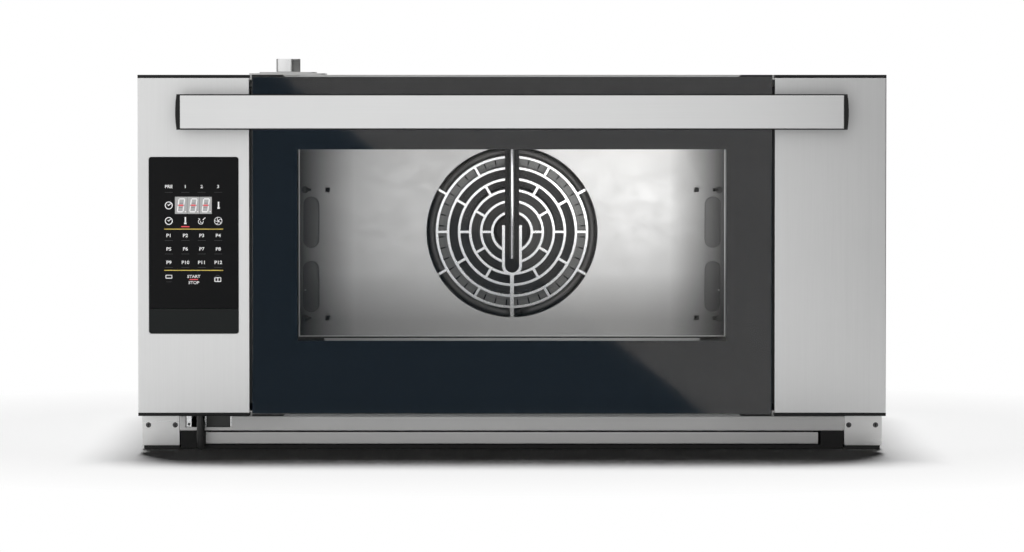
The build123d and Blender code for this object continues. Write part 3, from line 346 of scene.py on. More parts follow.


# metres in the oven's own frame: where each tone of the guard sheet starts and ends, and how strong it is; most of them
# are painted shade and painted highlights
guardTones = {
    "side": (0.182, 0.2475),       # from the middle, to both sides
    "sideShadeLevel": 0.1,
    "foot": (0.120, 0.176),
    "footShadeLevel": 0.6,
    "wall": (0.1336, 0.1340),      # depth of the pressed walls
    "wallShadeLevel": 0.2,
    "pocket": (0.1351, 0.1354),    # depth of the pockets' floors
    "pocketShadeLevel": 0.42,
    "rings": (0.097, 0.0975),      # radius of the ring grille
    "ringRoughness": 0.24,
    "sideFoldHighlight": (0.2455, 0.2459),
    "footFoldHighlight": (0.1029, 0.1033),
    "lip": (0.1016, 0.1020),
    "lipShade": 0.45,
    "seam": (0.1000, 0.1004),
    "foldHighlightColour": (0.97, 0.97, 0.96),
    "seamAndShadeColour": (0.05, 0.05, 0.05),
}


def guardSteel(name, colour, roughness):
    # satin sheet, with painted shade towards its sides and its foot, in its pressed walls and pockets and below its
    # lip, and painted highlights on its folded edges
    material, tree, shader, place, plain = reopen(
        sheetSteel(name, colour, roughness, (40.0, 40.0, 60.0), 0.012, 0.03, 0.01, 0.15))
    tones = guardTones

    def past(axis, key, low=0.0, high=1.0):
        return rangeNode(tree, placeMask(tree, place, axis, *tones[key]), 0.0, 1.0, low, high)

    # painted shade towards both sides and towards the foot
    sides = past("X", "side", 1.0, tones["sideShadeLevel"])
    foot = past("Z", "foot", tones["footShadeLevel"], 1.0)
    # painted shade on the pressed walls and in the pockets
    depth = mathNode(tree, "ADD", past("Y", "wall", 1.0, tones["wallShadeLevel"]),
                     past("Y", "pocket", 0.0, tones["pocketShadeLevel"]))
    level = mathNode(tree, "MULTIPLY", mathNode(tree, "MULTIPLY", sides, foot), depth)
    shade = vectorNode(tree, "SCALE", plain, level)
    start, end = tones["rings"]
    outside = useGroup(tree, reachFrom, Vector=place, Centre=fanCentre, Start=start, End=end).outputs["Mask"]
    satin = shader.inputs["Roughness"].links[0].from_socket
    tree.links.new(rangeNode(tree, outside, 0.0, 1.0, tones["ringRoughness"], satin), shader.inputs["Roughness"])
    # painted highlights along the side and foot folds
    foldHighlight = mathNode(tree, "MAXIMUM", past("X", "sideFoldHighlight"), past("Z", "footFoldHighlight", 1.0, 0.0))
    shade = colourMix(tree, foldHighlight, shade, tones["foldHighlightColour"])
    # painted shade below the lip, and the dark seam line where the sheets meet
    lip = past("Z", "lip", 1.0, 0.0)
    seam = mathNode(tree, "MULTIPLY", lip, past("Z", "seam"))
    shade = colourMix(tree, mathNode(tree, "MULTIPLY", lip, tones["lipShade"]), shade, tones["seamAndShadeColour"])
    tree.links.new(colourMix(tree, seam, shade, tones["seamAndShadeColour"]), shader.inputs["Base Color"])
    return material


def screwMetal(name, colour, roughness, slotDepth):
    # painted shade: dark at the bottom of the crossed slots
    material, tree, shader, place, plain = reopen(polishedMetal(name, colour, roughness, 0.1, 0.1))
    slotShadeMask = placeMask(tree, place, "Y", slotDepth, slotDepth + 0.0001)
    tree.links.new(colourMix(tree, slotShadeMask, plain, (0.01, 0.01, 0.01)), shader.inputs["Base Color"])
    return material


def mouldedPlastic(name, colour, roughness, scale=1800.0, depth=0.2, marks=0.3, edgeGlow=0.06, specular=0.4):
    material, tree, shader, place = startMaterial(name)
    grain = useGroup(tree, mouldedGrain, Vector=place, Colour=(*colour, 1), Roughness=roughness, Scale=scale,
                     Depth=depth, Marks=marks)
    # a highlight is painted along its edges
    feedEdgeHighlight(tree, shader, grain, edgeGlow, (0.6, 0.6, 0.6))
    shader.inputs["Specular IOR Level"].default_value = specular
    return material


def clearGlass(name, colour, roughness, ior):
    # coated panes: an index near 1 keeps their reflections as faint as in the photographed window
    material, tree, shader, place = startMaterial(name)
    smear = noiseNode(tree, place, 14.0, 4.0, 0.6)
    tree.links.new(rangeNode(tree, smear, 0.45, 0.75, roughness, roughness + 0.02), shader.inputs["Roughness"])
    tree.links.new(colourMix(tree, smear, colour, tuple(part * 0.97 for part in colour)), shader.inputs["Base Color"])
    shader.inputs["Transmission Weight"].default_value = 1.0
    shader.inputs["Metallic"].default_value = 0.0
    shader.inputs["IOR"].default_value = ior
    return material


def printedEnamel(name, colour, roughness, specular):
    # screen-printed border behind the glass, with the faint mottling of fired enamel
    material, tree, shader, place = startMaterial(name)
    mottle = noiseNode(tree, place, 120.0, 3.0, 0.6)
    cloud = noiseNode(tree, place, 6.0, 2.0, 0.5)
    level = mathNode(tree, "ADD", mathNode(tree, "MULTIPLY", mottle, 0.5), mathNode(tree, "MULTIPLY", cloud, 0.5))
    shade = colourMix(tree, level, tuple(part * 0.8 for part in colour), tuple(part * 1.2 for part in colour))
    tree.links.new(shade, shader.inputs["Base Color"])
    tree.links.new(rangeNode(tree, mottle, 0.3, 0.7, roughness, roughness + 0.02), shader.inputs["Roughness"])
    shader.inputs["Specular IOR Level"].default_value = specular
    return material


def glossPanel(name, colour, roughness):
    # black glass with faint finger marks
    material, tree, shader, place = startMaterial(name)
    prints = noiseNode(tree, place, 60.0, 5.0, 0.65)
    cloud = noiseNode(tree, place, 10.0, 2.0, 0.5)
    feed(tree, shader, colourMix(tree, cloud, colour, tuple(part * 1.15 for part in colour)),
         rangeNode(tree, prints, 0.35, 0.75, roughness, roughness + 0.12), useGroup(tree, softEdge).outputs["Normal"])
    shader.inputs["Specular IOR Level"].default_value = 0.08
    return material


def polishedMetal(name, colour, roughness, marks=0.05, edgeTint=1.0, metallic=1.0):
    material, tree, shader, place = startMaterial(name)
    fine = noiseNode(tree, place, 220.0, 3.0, 0.6)
    cloud = noiseNode(tree, place, 25.0, 3.0, 0.5)
    feed(tree, shader, colourMix(tree, cloud, tuple(part * (1 - marks) for part in colour), colour),
         rangeNode(tree, fine, 0.3, 0.7, roughness, roughness + marks), useGroup(tree, softEdge).outputs["Normal"])
    shader.inputs["Specular Tint"].default_value = (edgeTint, edgeTint, edgeTint, 1)
    shader.inputs["Metallic"].default_value = metallic
    return material


# radii in metres where each zone of the wheel starts and ends, and its colour; the colours of the disc, cone, hub and
# blades paint the wheel's light and shade
wheelZones = {
    "blades": (0.0735, 0.0745),
    "cone": (0.047, 0.051),
    "hub": (0.021, 0.0225),
    "joints": (0.0785, 0.0805),
    "discShadeColour": (0.065, 0.065, 0.065),
    "coneLightColour": (0.85, 0.85, 0.84),
    "hubShadeColour": (0.2, 0.2, 0.2),
    "bladeShadeColour": (0.19, 0.19, 0.185),
    "jointColour": (0.015, 0.015, 0.015),
    "jointWidth": (0.04, 0.08),    # share of the way from one blade to the next
    "turningMarks": 700.0,
}


def wheelSteel(name, bladeCount):
    # turned disc, with its light and shade painted by radius: painted light in the cone, painted shade round it and on
    # the hub, and the blades painted lighter than the disc
    material, tree, shader, place = startMaterial(name)
    zones = wheelZones
    start, end = zones["blades"]
    axle = useGroup(tree, reachFrom, Vector=place, Centre=fanCentre, Start=start, End=end)
    reach, blades = axle.outputs["Reach"], axle.outputs["Mask"]
    rings = tree.nodes.new("ShaderNodeTexNoise")
    rings.noise_dimensions = "1D"
    rings.inputs["Scale"].default_value = zones["turningMarks"]
    tree.links.new(reach, rings.inputs["W"])
    cone = rangeNode(tree, reach, *zones["cone"], 1.0, 0.0)
    hub = rangeNode(tree, reach, *zones["hub"], 1.0, 0.0)
    # painted shade on the disc and hub, painted light in the cone, and painted shade on the blades
    shade = colourMix(tree, cone, zones["discShadeColour"], zones["coneLightColour"])
    shade = colourMix(tree, hub, shade, zones["hubShadeColour"])
    shade = colourMix(tree, blades, shade, zones["bladeShadeColour"])
    # dark joints where each blade meets the front ring
    split = tree.nodes.new("ShaderNodeSeparateXYZ")
    tree.links.new(place, split.inputs[0])
    upward = mathNode(tree, "SUBTRACT", split.outputs["Z"], fanCentre[2])
    turn = mathNode(tree, "ARCTAN2", split.outputs["X"], upward)
    share = mathNode(tree, "FRACT", mathNode(tree, "MULTIPLY", turn, bladeCount / (2 * math.pi)))
    joint = rangeNode(tree, mathNode(tree, "ABSOLUTE", mathNode(tree, "SUBTRACT", share, 0.5)),
                      *zones["jointWidth"], 1.0, 0.0)
    outer = rangeNode(tree, reach, *zones["joints"], 0.25, 1.0)
    joint = mathNode(tree, "MULTIPLY", mathNode(tree, "MULTIPLY", joint, outer), blades)
    shade = colourMix(tree, joint, shade, zones["jointColour"])
    level = rangeNode(tree, rings.outputs["Fac"], 0.3, 0.7, 0.82, 1.15)
    finish = rangeNode(tree, rings.outputs["Fac"], 0.3, 0.7, 0.28, 0.38)
    feed(tree, shader, vectorNode(tree, "SCALE", shade, level),
         mathNode(tree, "ADD", finish, mathNode(tree, "MULTIPLY", cone, 0.25)),
         useGroup(tree, softEdge).outputs["Normal"])
    tree.links.new(rangeNode(tree, cone, 0.0, 1.0, 1.0, 0.3), shader.inputs["Metallic"])
    return material


def mineralWool(name):
    # pressed fibres in two colours, matted and slightly layered
    material, tree, shader, place = startMaterial(name)
    stretch = tree.nodes.new("ShaderNodeMapping")
    stretch.inputs["Scale"].default_value = (1.0, 1.0, 4.0)
    tree.links.new(place, stretch.inputs["Vector"])
    fibre = noiseNode(tree, stretch.outputs["Vector"], 220.0, 8.0, 0.75)
    clump = noiseNode(tree, place, 35.0, 4.0, 0.6)
    shade = colourMix(tree, fibre, (0.42, 0.38, 0.26), (0.78, 0.74, 0.6))
    shade = colourMix(tree, mathNode(tree, "MULTIPLY", clump, 0.5), shade, (0.6, 0.56, 0.44))
    feed(tree, shader, shade, rangeNode(tree, fibre, 0.0, 1.0, 0.85, 0.98),
         bumpNode(tree, mathNode(tree, "ADD", fibre, clump), 0.8, 0.0012))
    shader.inputs["Specular IOR Level"].default_value = 0.1
    return material


def zincPlate(name, colour, roughness):
    # spangled zinc: flat crystals that catch the light differently
    material, tree, shader, place = startMaterial(name)
    cells = tree.nodes.new("ShaderNodeTexVoronoi")
    cells.inputs["Scale"].default_value = 160.0
    tree.links.new(place, cells.inputs["Vector"])
    value = tree.nodes.new("ShaderNodeSeparateColor")
    tree.links.new(cells.outputs["Color"], value.inputs["Color"])
    cloud = noiseNode(tree, place, 18.0, 3.0, 0.5)
    shade = colourMix(tree, value.outputs["Red"], tuple(part * 0.9 for part in colour),
                      tuple(min(1.0, part * 1.08) for part in colour))
    rough = mathNode(tree, "ADD", rangeNode(tree, value.outputs["Green"], 0.0, 1.0, roughness - 0.05, roughness + 0.08),
                     mathNode(tree, "MULTIPLY", cloud, 0.06))
    feed(tree, shader, shade, rough, useGroup(tree, softEdge).outputs["Normal"])
    shader.inputs["Metallic"].default_value = 0.9
    return material


def circuitBoard(name):
    material, tree, shader, place = startMaterial(name)
    tracks = tree.nodes.new("ShaderNodeTexBrick")
    tracks.inputs["Scale"].default_value = 60.0
    tracks.inputs["Color1"].default_value = (0.02, 0.13, 0.05, 1)
    tracks.inputs["Color2"].default_value = (0.03, 0.17, 0.07, 1)
    tracks.inputs["Mortar"].default_value = (0.05, 0.24, 0.1, 1)
    tracks.inputs["Mortar Size"].default_value = 0.01
    turn = tree.nodes.new("ShaderNodeMapping")
    turn.inputs["Rotation"].default_value = (0.0, math.pi / 2, 0.0)
    tree.links.new(place, turn.inputs["Vector"])
    tree.links.new(turn.outputs["Vector"], tracks.inputs["Vector"])
    tree.links.new(tracks.outputs["Color"], shader.inputs["Base Color"])
    tree.links.new(rangeNode(tree, noiseNode(tree, place, 90.0), 0.3, 0.7, 0.3, 0.45), shader.inputs["Roughness"])
    return material


def frostedLamp(name):
    material, tree, shader, place = startMaterial(name)
    frost = noiseNode(tree, place, 500.0, 2.0, 0.6)
    tree.links.new(colourMix(tree, frost, (0.86, 0.85, 0.8), (0.95, 0.94, 0.9)), shader.inputs["Base Color"])
    tree.links.new(rangeNode(tree, frost, 0.3, 0.7, 0.3, 0.45), shader.inputs["Roughness"])
    tree.links.new(colourMix(tree, frost, (1.0, 0.95, 0.86), (1.0, 0.98, 0.93)), shader.inputs["Emission Color"])
    shader.inputs["Emission Strength"].default_value = 0.6
    return material


# what a user would change about the finishes; the grain is lines per metre along X, Y and Z
upright = (900.0, 900.0, 14.0)
lengthways = (10.0, 900.0, 1100.0)
allRound = (60.0, 60.0, 60.0)
finishes = {
    "door_steel": sheetSteel("fasciaSteel", (0.74, 0.74, 0.735), 0.42, upright, 0.07, 0.035, 0.12, 0.9),
    "handle_steel": sheetSteel("handleSteel", (0.75, 0.75, 0.745), 0.38, lengthways, 0.06, 0.05, 0.12),
    "rail_steel": sheetSteel("railSteel", (0.66, 0.655, 0.645), 0.34, lengthways, 0.07, 0.05, 0.06, 0.9),
    "casing_steel": sheetSteel("casingSteel", (0.56, 0.56, 0.555), 0.38, (12.0, 14.0, 700.0), 0.05, 0.02, 0.1),
    "inner_steel": sheetSteel("innerSteel", (0.6, 0.6, 0.59), 0.36, allRound, 0.04, 0.06, 0.05),
    # the cavity's sheet is kept darker than the other steel, as painted shade inside the cavity
    "cavity_steel": cavitySteel("cavitySteel", (0.36, 0.36, 0.355), (0.32, 0.32, 0.315), 0.34, 0.1335),
    "guard_steel": guardSteel("guardSteel", (0.93, 0.925, 0.915), 0.43),
    "wheel_steel": wheelSteel("wheelSteel", 40),
    "element_steel": polishedMetal("elementSteel", (0.46, 0.455, 0.445), 0.6, 0.05, 1.0, 0.5),
    "screw_steel": polishedMetal("screwSteel", (0.5, 0.5, 0.49), 0.28),
    "chrome": polishedMetal("chromePlate", (0.7, 0.7, 0.71), 0.08, 0.05, 0.6),
    "brass": polishedMetal("turnedBrass", (0.72, 0.53, 0.27), 0.25),
    "zinc_steel": zincPlate("zincSteel", (0.62, 0.63, 0.64), 0.38),
    "clear_glass": clearGlass("clearGlass", (0.985, 0.985, 0.985), 0.0, 1.13),
    "black_enamel": printedEnamel("borderEnamel", (0.0062, 0.0082, 0.0108), 0.02, 0.6),
    "panel_glass": glossPanel("panelGlass", (0.006, 0.006, 0.0062), 0.12),
    "lamp_glass": frostedLamp("lampGlass"),
    "display": mouldedPlastic("displayGrey", (0.4, 0.4, 0.4), 0.4),
    "black_plastic": mouldedPlastic("blackPlastic", (0.014, 0.014, 0.014), 0.45, 1800.0, 0.2, 0.3, 0.04, 0.15),
    "grey_plastic": mouldedPlastic("greyPlastic", (0.05, 0.051, 0.05), 0.5, 1800.0, 0.2, 0.3, 0.06, 0.2),
    "cover_plastic": mouldedPlastic("coverPlastic", (0.012, 0.0135, 0.0135), 0.38, 2600.0, 0.08, 0.3, 0.03, 0.12),
    "black_rubber": mouldedPlastic("padRubber", (0.02, 0.02, 0.02), 0.7, 1200.0, 0.3),
    "gasket_rubber": mouldedPlastic("gasketSilicone", (0.045, 0.045, 0.045), 0.6, 900.0, 0.15),
    "conduit_plastic": mouldedPlastic("conduitSleeve", (0.03, 0.03, 0.03), 0.42, 1500.0, 0.1),
    "mineral_wool": mineralWool("mineralWool"),
    "motor_paint": mouldedPlastic("motorPaint", (0.05, 0.052, 0.055), 0.4, 700.0, 0.25),
    "board": circuitBoard("circuitBoard"),
}

slotOf = {entry["node"]: entry["material_slot"] for entry in frame["record"]["subparts"]}
for nodeName, node in nodes.items():
    node.data.materials.clear()
    node.data.materials.append(finishes[slotOf[nodeName]])
# a few pieces differ from the others in their slot
ownFinishes = {
    "corner_screws": screwMetal("crossedScrews", (0.2, 0.2, 0.2), 0.25, -0.3044),
    "corner_plates": sheetSteel("cornerSteel", (0.8, 0.795, 0.785), 0.3, lengthways, 0.04, 0.05, 0.03, 0.9),
    "inlet_bracket": sheetSteel("bracketSteel", (0.93, 0.93, 0.92), 0.22, allRound, 0.02, 0.04, 0.05, 0.5),
    "guard_studs": polishedMetal("studSteel", (0.1, 0.1, 0.098), 0.45),
    "chimney_tube": polishedMetal("flueSteel", (0.84, 0.84, 0.84), 0.2, 0.04, 0.1),
}
for nodeName, material in ownFinishes.items():
    nodes[nodeName].data.materials[0] = material
print("finishes on all nodes")


# ---- markings of the touch panel ----
panel = {
    "lift": 0.00005,           # thickness of the ink
    "front": -0.3685,          # Y of the glass
    "white": (0.82, 0.82, 0.82),
    "yellow": (0.62, 0.47, 0.09),
    "red": (0.55, 0.06, 0.07),
    "faint": (0.05, 0.05, 0.05),
    "columns": [-0.3668, -0.3491, -0.3316, -0.3140],
    "middle": -0.3402,
    # Z of each row of marks
    "head": 0.2855,
    "headLine": 0.2795,
    "upperIcons": 0.2655,
    "lowerIcons": 0.2489,
    "underIcons": 0.2428,
    "yellowLines": (0.2402, 0.1961),
    "programmes": (0.2332, 0.2188, 0.2044),
    "start": 0.1894,
    "startLine": 0.1863,
    "stop": 0.1828,
    # sizes of letters, icons and lines
    "headLetters": 0.0034,
    "programmeLetters": 0.0036,
    "startLetters": 0.0031,
    "icon": 0.0042,
    "thermometer": 0.0078,
    "line": 0.0009,
    "faintWidth": 0.0085,
    "faintLine": 0.0003,
    "yellowLength": 0.063,
}
# the three digits between two X and two Z
display = {"left": -0.3603, "right": -0.3207, "low": 0.2565, "high": 0.2747, "slant": 0.14, "segment": 0.0012}


def inkMaterial(name, colour, glow=0.0):
    material, tree, shader, place = startMaterial(name)
    wear = noiseNode(tree, place, 900.0, 3.0, 0.6)
    tree.links.new(colourMix(tree, wear, tuple(part * 0.9 for part in colour), colour), shader.inputs["Base Color"])
    tree.links.new(rangeNode(tree, wear, 0.2, 0.8, 0.35, 0.5), shader.inputs["Roughness"])
    if glow:
        tree.links.new(colourMix(tree, wear, tuple(part * 0.95 for part in colour), colour),
                       shader.inputs["Emission Color"])
        shader.inputs["Emission Strength"].default_value = glow
    return material


inks = {
    "white": inkMaterial("whiteInk", panel["white"], 0.15),
    "yellow": inkMaterial("yellowInk", panel["yellow"], 0.1),
    "red": inkMaterial("redLight", panel["red"], 0.6),
    "faint": inkMaterial("faintInk", panel["faint"]),
    "cell": inkMaterial("displayCell", (0.42, 0.42, 0.42), 0.05),
    "dim": inkMaterial("dimSegment", (0.28, 0.28, 0.28)),
}
markings = {key: [] for key in inks}


def inkBar(x, z, width, height, ink, tilt=0.0, lift=1):
    bpy.ops.mesh.primitive_plane_add(size=1, location=(x, panel["front"] - panel["lift"] * lift, z),
                                     rotation=(math.pi / 2, tilt, 0))
    bar = bpy.context.object
    bar.scale = (width, height, 1)
    markings[ink].append(settle(bar))


def inkText(words, x, z, height, ink, stretch=1.0):
    bpy.ops.object.text_add(location=(x, panel["front"] - panel["lift"], z), rotation=(math.pi / 2, 0, 0))
    text = bpy.context.object
    text.data.body = words
    text.data.align_x = "CENTER"
    text.data.align_y = "CENTER"
    text.data.size = height * 1.38
    text.data.offset = height * 0.026
    text.data.resolution_u = 3
    text.scale = (stretch * 1.12, 1, 1)
    pick(text)
    bpy.ops.object.convert(target="MESH")
    markings[ink].append(settle(bpy.context.object))


def inkRing(x, z, radius, width, ink, start=0.0, end=360.0):
    bpy.ops.mesh.primitive_circle_add(vertices=32, radius=radius, fill_type="NOTHING",
                                      location=(x, panel["front"] - panel["lift"], z), rotation=(math.pi / 2, 0, 0))
    ring = bpy.context.object
    bpy.ops.object.mode_set(mode="EDIT")
    bpy.ops.mesh.select_all(action="SELECT")
    bpy.ops.mesh.extrude_edges_move()
    bpy.ops.transform.resize(value=((radius - width) / radius,) * 3)
    bpy.ops.object.mode_set(mode="OBJECT")
    if end - start < 360:
        bpy.ops.object.mode_set(mode="EDIT")
        bpy.ops.mesh.select_all(action="DESELECT")
        bpy.ops.mesh.select_mode(type="FACE")
        bpy.ops.object.mode_set(mode="OBJECT")
        for face in ring.data.polygons:
            angle = math.degrees(math.atan2(face.center.y, face.center.x)) % 360
            face.select = not (start <= angle <= end or start <= angle + 360 <= end)
        bpy.ops.object.mode_set(mode="EDIT")
        bpy.ops.mesh.delete(type="FACE")
        bpy.ops.object.mode_set(mode="OBJECT")
    markings[ink].append(settle(ring))


def clockIcon(x, z, radius):
    inkRing(x, z, radius, radius * 0.22, "white")
    inkBar(x + radius * 0.22, z + radius * 0.2, radius * 0.75, radius * 0.2, "white", -0.75)
    inkBar(x - radius * 0.12, z + radius * 0.05, radius * 0.45, radius * 0.2, "white", 0.75)


def thermometerIcon(x, z, height):
    inkBar(x, z + height * 0.14, height * 0.2, height * 0.72, "white")
    inkBar(x, z - height * 0.36, height * 0.34, height * 0.22, "white")


def fanIcon(x, z, radius):
    for turn in range(5):
        angle = turn * 72
        reach = radius * 0.55
        cx = x + reach * math.cos(math.radians(angle))
        cz = z + reach * math.sin(math.radians(angle))
        inkRing(cx, cz, radius * 0.46, radius * 0.12, "white", (angle + 20) % 360, (angle + 20) % 360 + 150)
    inkRing(x, z, radius, radius * 0.13, "white")
    inkRing(x, z, radius * 0.2, radius * 0.18, "white")


def steamIcon(x, z, size):
    inkRing(x - size * 0.12, z - size * 0.1, size * 0.42, size * 0.09, "white", 120, 330)
    inkRing(x + size * 0.02, z - size * 0.08, size * 0.26, size * 0.08, "white", 160, 380)
    inkBar(x + size * 0.36, z + size * 0.34, size * 0.5, size * 0.12, "white", -0.7)
    inkBar(x - size * 0.35, z + size * 0.3, size * 0.3, size * 0.1, "white", 0.5)


def frameIcon(x, z, width, height, line):
    inkBar(x, z + height / 2, width, line, "white")
    inkBar(x, z - height / 2, width, line, "white")
    inkBar(x - width / 2, z, line, height, "white")
    inkBar(x + width / 2, z, line, height, "white")


def faintLine(x, z, width=panel["faintWidth"]):
    inkBar(x, z, width, panel["faintLine"], "faint")


def drawMarkings():
    c = panel["columns"]
    for words, x in zip(("PRE", "1", "2", "3"), c):
        inkText(words, x, panel["head"], panel["headLetters"], "white")
        faintLine(x, panel["headLine"])
    upper, lower = panel["upperIcons"], panel["lowerIcons"]
    clockIcon(c[0], upper, panel["icon"])
    thermometerIcon(c[3] + 0.0004, upper, panel["thermometer"])
    clockIcon(c[0], lower, panel["icon"])
    thermometerIcon(c[1], lower + 0.0003, panel["thermometer"])
    steamIcon(c[2], lower, 0.0072)
    fanIcon(c[3], lower, 0.0043)
    inkBar(c[1], panel["underIcons"], 0.0086, 0.0011, "red")
    for z in panel["yellowLines"]:
        inkBar(panel["middle"], z, panel["yellowLength"], panel["line"], "yellow")
    for row, z in enumerate(panel["programmes"]):
        for column, x in enumerate(c):
            inkText("P" + str(row * len(c) + column + 1), x, z, panel["programmeLetters"], "white")
            faintLine(x, z - 0.0052)
    frameIcon(c[0], 0.1893, 0.0064, 0.0032, 0.0008)
    faintLine(c[0], 0.1838, 0.0064)
    inkText("START", panel["middle"], panel["start"], panel["startLetters"], "white")
    inkBar(panel["middle"], panel["startLine"], 0.0088, panel["line"], "red")
    inkText("STOP", panel["middle"], panel["stop"], panel["startLetters"], "white")
    frameIcon(c[3] - 0.0005, 0.1862, 0.0064, 0.004, panel["line"])
    inkBar(c[3] - 0.0005, 0.1862, panel["line"], 0.004, "white")
    inkRing(c[3] - 0.0005, 0.1884, 0.0026, 0.0005, "faint", 0, 180)
    print("panel markings drawn")


def drawDigits():
    width = (display["right"] - display["left"]) / 3
    z = (display["low"] + display["high"]) / 2
    bar = display["segment"]
    for digit in range(3):
        x = display["left"] + width * (digit + 0.5)
        inkBar(x, z, width - 0.0003, display["high"] - display["low"], "cell", lift=0.5)
        for side in (-1, 1):
            for level in (-1, 1):
                inkBar(x + side * 0.0030 + level * 0.0005, z + level * 0.0036, bar, 0.0056, "white",
                       display["slant"], lift=1.5)
        for level in (-1, 1):
            inkBar(x + level * 0.0010, z + level * 0.0069, 0.0056, bar, "white", lift=1.5)
            inkBar(x + level * 0.0006, z + level * 0.0023, 0.0044, 0.0010, "dim", lift=1.2)
        inkBar(x, z, 0.0050, 0.0016, "red", lift=1.5)
        inkBar(x + 0.0047, z - 0.0068, bar, bar, "white", lift=1.5)
    print("display drawn")


drawMarkings()
drawDigits()
for ink, bars in markings.items():
    if bars:
        piece = joinPieces(bars, "panel_" + ink)
        dress(piece, "door", inks[ink])


# ---- conduit of the control wiring ----
conduit = {
    "route": [(-0.3355, -0.340, 0.0465), (-0.3355, -0.3406, 0.010), (-0.3355, -0.323, 0.0015),
              (-0.3355, -0.311, 0.024), (-0.3355, -0.291, 0.031)],
    "diameter": 0.007,
    "sides": 24,
}


def routeLine(points, samples):
    # the smooth line through the route's corners, read back as points
    data = bpy.data.curves.new("conduitLine", "CURVE")
    data.dimensions = "3D"
    spline = data.splines.new("NURBS")
    spline.points.add(len(points) - 1)
    for point, place in zip(spline.points, points):
        point.co = (*place, 1)
    spline.order_u = 3
    spline.use_endpoint_u = True
    data.resolution_u = samples
    line = bpy.data.objects.new("conduitLine", data)
    bpy.context.scene.collection.objects.link(line)
    bpy.context.view_layer.update()
    mesh = bpy.data.meshes.new_from_object(line)
    read = [vertex.co.copy() for vertex in mesh.vertices]
    bpy.data.objects.remove(line)
    return read


def tubeAlong(points, radius, sides, name):
    # a closed tube with its rings square to the line
    builder = bmesh.new()
    rings = []
    across = Vector((1, 0, 0))
    for index, point in enumerate(points):
        before = points[max(index - 1, 0)]
        after = points[min(index + 1, len(points) - 1)]
        along = (after - before).normalized()
        upward = along.cross(across).normalized()
        ring = []
        for step in range(sides):
            angle = 2 * math.pi * step / sides
            ring.append(builder.verts.new(point + (across * math.cos(angle) + upward * math.sin(angle)) * radius))
        rings.append(ring)
    for first, second in zip(rings, rings[1:]):
        for step in range(sides):
            following = (step + 1) % sides
            builder.faces.new((first[step], first[following], second[following], second[step]))
    builder.faces.new(rings[0][::-1])
    builder.faces.new(rings[-1])
    bmesh.ops.recalc_face_normals(builder, faces=builder.faces)
    mesh = bpy.data.meshes.new(name)
    builder.to_mesh(mesh)
    builder.free()
    for face in mesh.polygons:
        face.use_smooth = len(face.vertices) == 4
    tube = bpy.data.objects.new(name, mesh)
    bpy.context.scene.collection.objects.link(tube)
    return tube


def buildConduit():
    line = routeLine(conduit["route"], 24)
    tube = tubeAlong(line, conduit["diameter"] / 2, conduit["sides"], "wiring_conduit")
    tube.data.materials.append(finishes["conduit_plastic"])
    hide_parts("control_conduit")
    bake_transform(tube)


buildConduit()


# ---- strip behind the slot that the water pipe hangs in ----
slotBacking = {
    "halfWidth": 0.0081,
    "low": 0.1762,
    "high": 0.3555,
    "front": 0.1340,
    "thickness": 0.0008,
    "roundSteps": 20,
}


def buildSlotBacking():
    # a strip just behind the guard, with its two lower corners rounded into a half circle
    half = slotBacking["halfWidth"]
    clearSelection()
    bpy.ops.mesh.primitive_cube_add(size=1, location=(0, slotBacking["front"] + slotBacking["thickness"] / 2,
                                                      (slotBacking["low"] + slotBacking["high"]) / 2))
    strip = bpy.context.object
    strip.scale = (2 * half, slotBacking["thickness"], slotBacking["high"] - slotBacking["low"])
    settle(strip)
    strip.name = "slot_backing"
    bpy.ops.object.mode_set(mode="EDIT")
    bpy.ops.mesh.select_mode(type="EDGE")
    bpy.ops.mesh.select_all(action="DESELECT")
    bpy.ops.object.mode_set(mode="OBJECT")
    corners = strip.data.vertices
    for edge in strip.data.edges:
        first, second = (corners[index].co for index in edge.vertices)
        edge.select = abs(first.y - second.y) > 0.0001 and max(first.z, second.z) < slotBacking["low"] + 0.001
    bpy.ops.object.mode_set(mode="EDIT")
    bpy.ops.mesh.bevel(offset=half * 0.999, segments=slotBacking["roundSteps"], affect="EDGES")
    bpy.ops.object.mode_set(mode="OBJECT")
    material = mouldedPlastic("slotShade", (0.1, 0.1, 0.1), 0.6, 1500.0, 0.1, 0.3, 0.0, 0.1)
    dress(strip, "chassis", material)


buildSlotBacking()
print("slot backing built")


# ---- floor, backdrop, lights and camera ----
studio = {
    "floor": (0.96, 0.96, 0.96),
    "floorReach": 30,
    "floorSplit": -1.05,       # in front of this line the floor doesn't show in metal and glass
    "nearFloor": 0.62,         # metres from the middle where the floor starts to fade into the background
    "farFloor": 1.0,
    "fill": 0.01,              # light from all round on matt surfaces
    "sunPower": 3.1,
    "sunSpread": 18,           # degrees
    "sunAim": (0.0, -0.42, -1.0),
    "cameraDistance": 6.0,     # metres from the door's front
    "cameraHeight": 0.405,
    "doorFront": -0.3675,
    "aimHeight": 0.190,
    "lens": 197.4,
}
# each lamp: place, target, size, watts, colour, and the rays that don't see it
lamps = {
    "frontLamp": ((-0.6, -5.0, 0.05), (0, -0.3, 0.2), (2.0, 0.08), 120, (1, 1, 1), ("glossy", "transmission")),
    "cavityGlow": ((0.13, 0.03, 0.357), (0.1, 0.08, 0.1), (0.2, 0.06), 0.05, (1.0, 0.98, 0.95), ()),
    # the strip of lights in the top of the door shines on the back of the cavity
    "doorStrip": ((0.15, -0.25, 0.262), (0.12, 0.13, 0.21), (0.24, 0.06), 0.15, (1, 1, 1),
                  ("camera", "transmission")),
    # its far end, weaker, reaches the left half
    "doorStripEnd": ((-0.09, -0.25, 0.275), (-0.1, 0.13, 0.25), (0.24, 0.06), 0.05, (1, 1, 1),
                     ("camera", "transmission")),
}
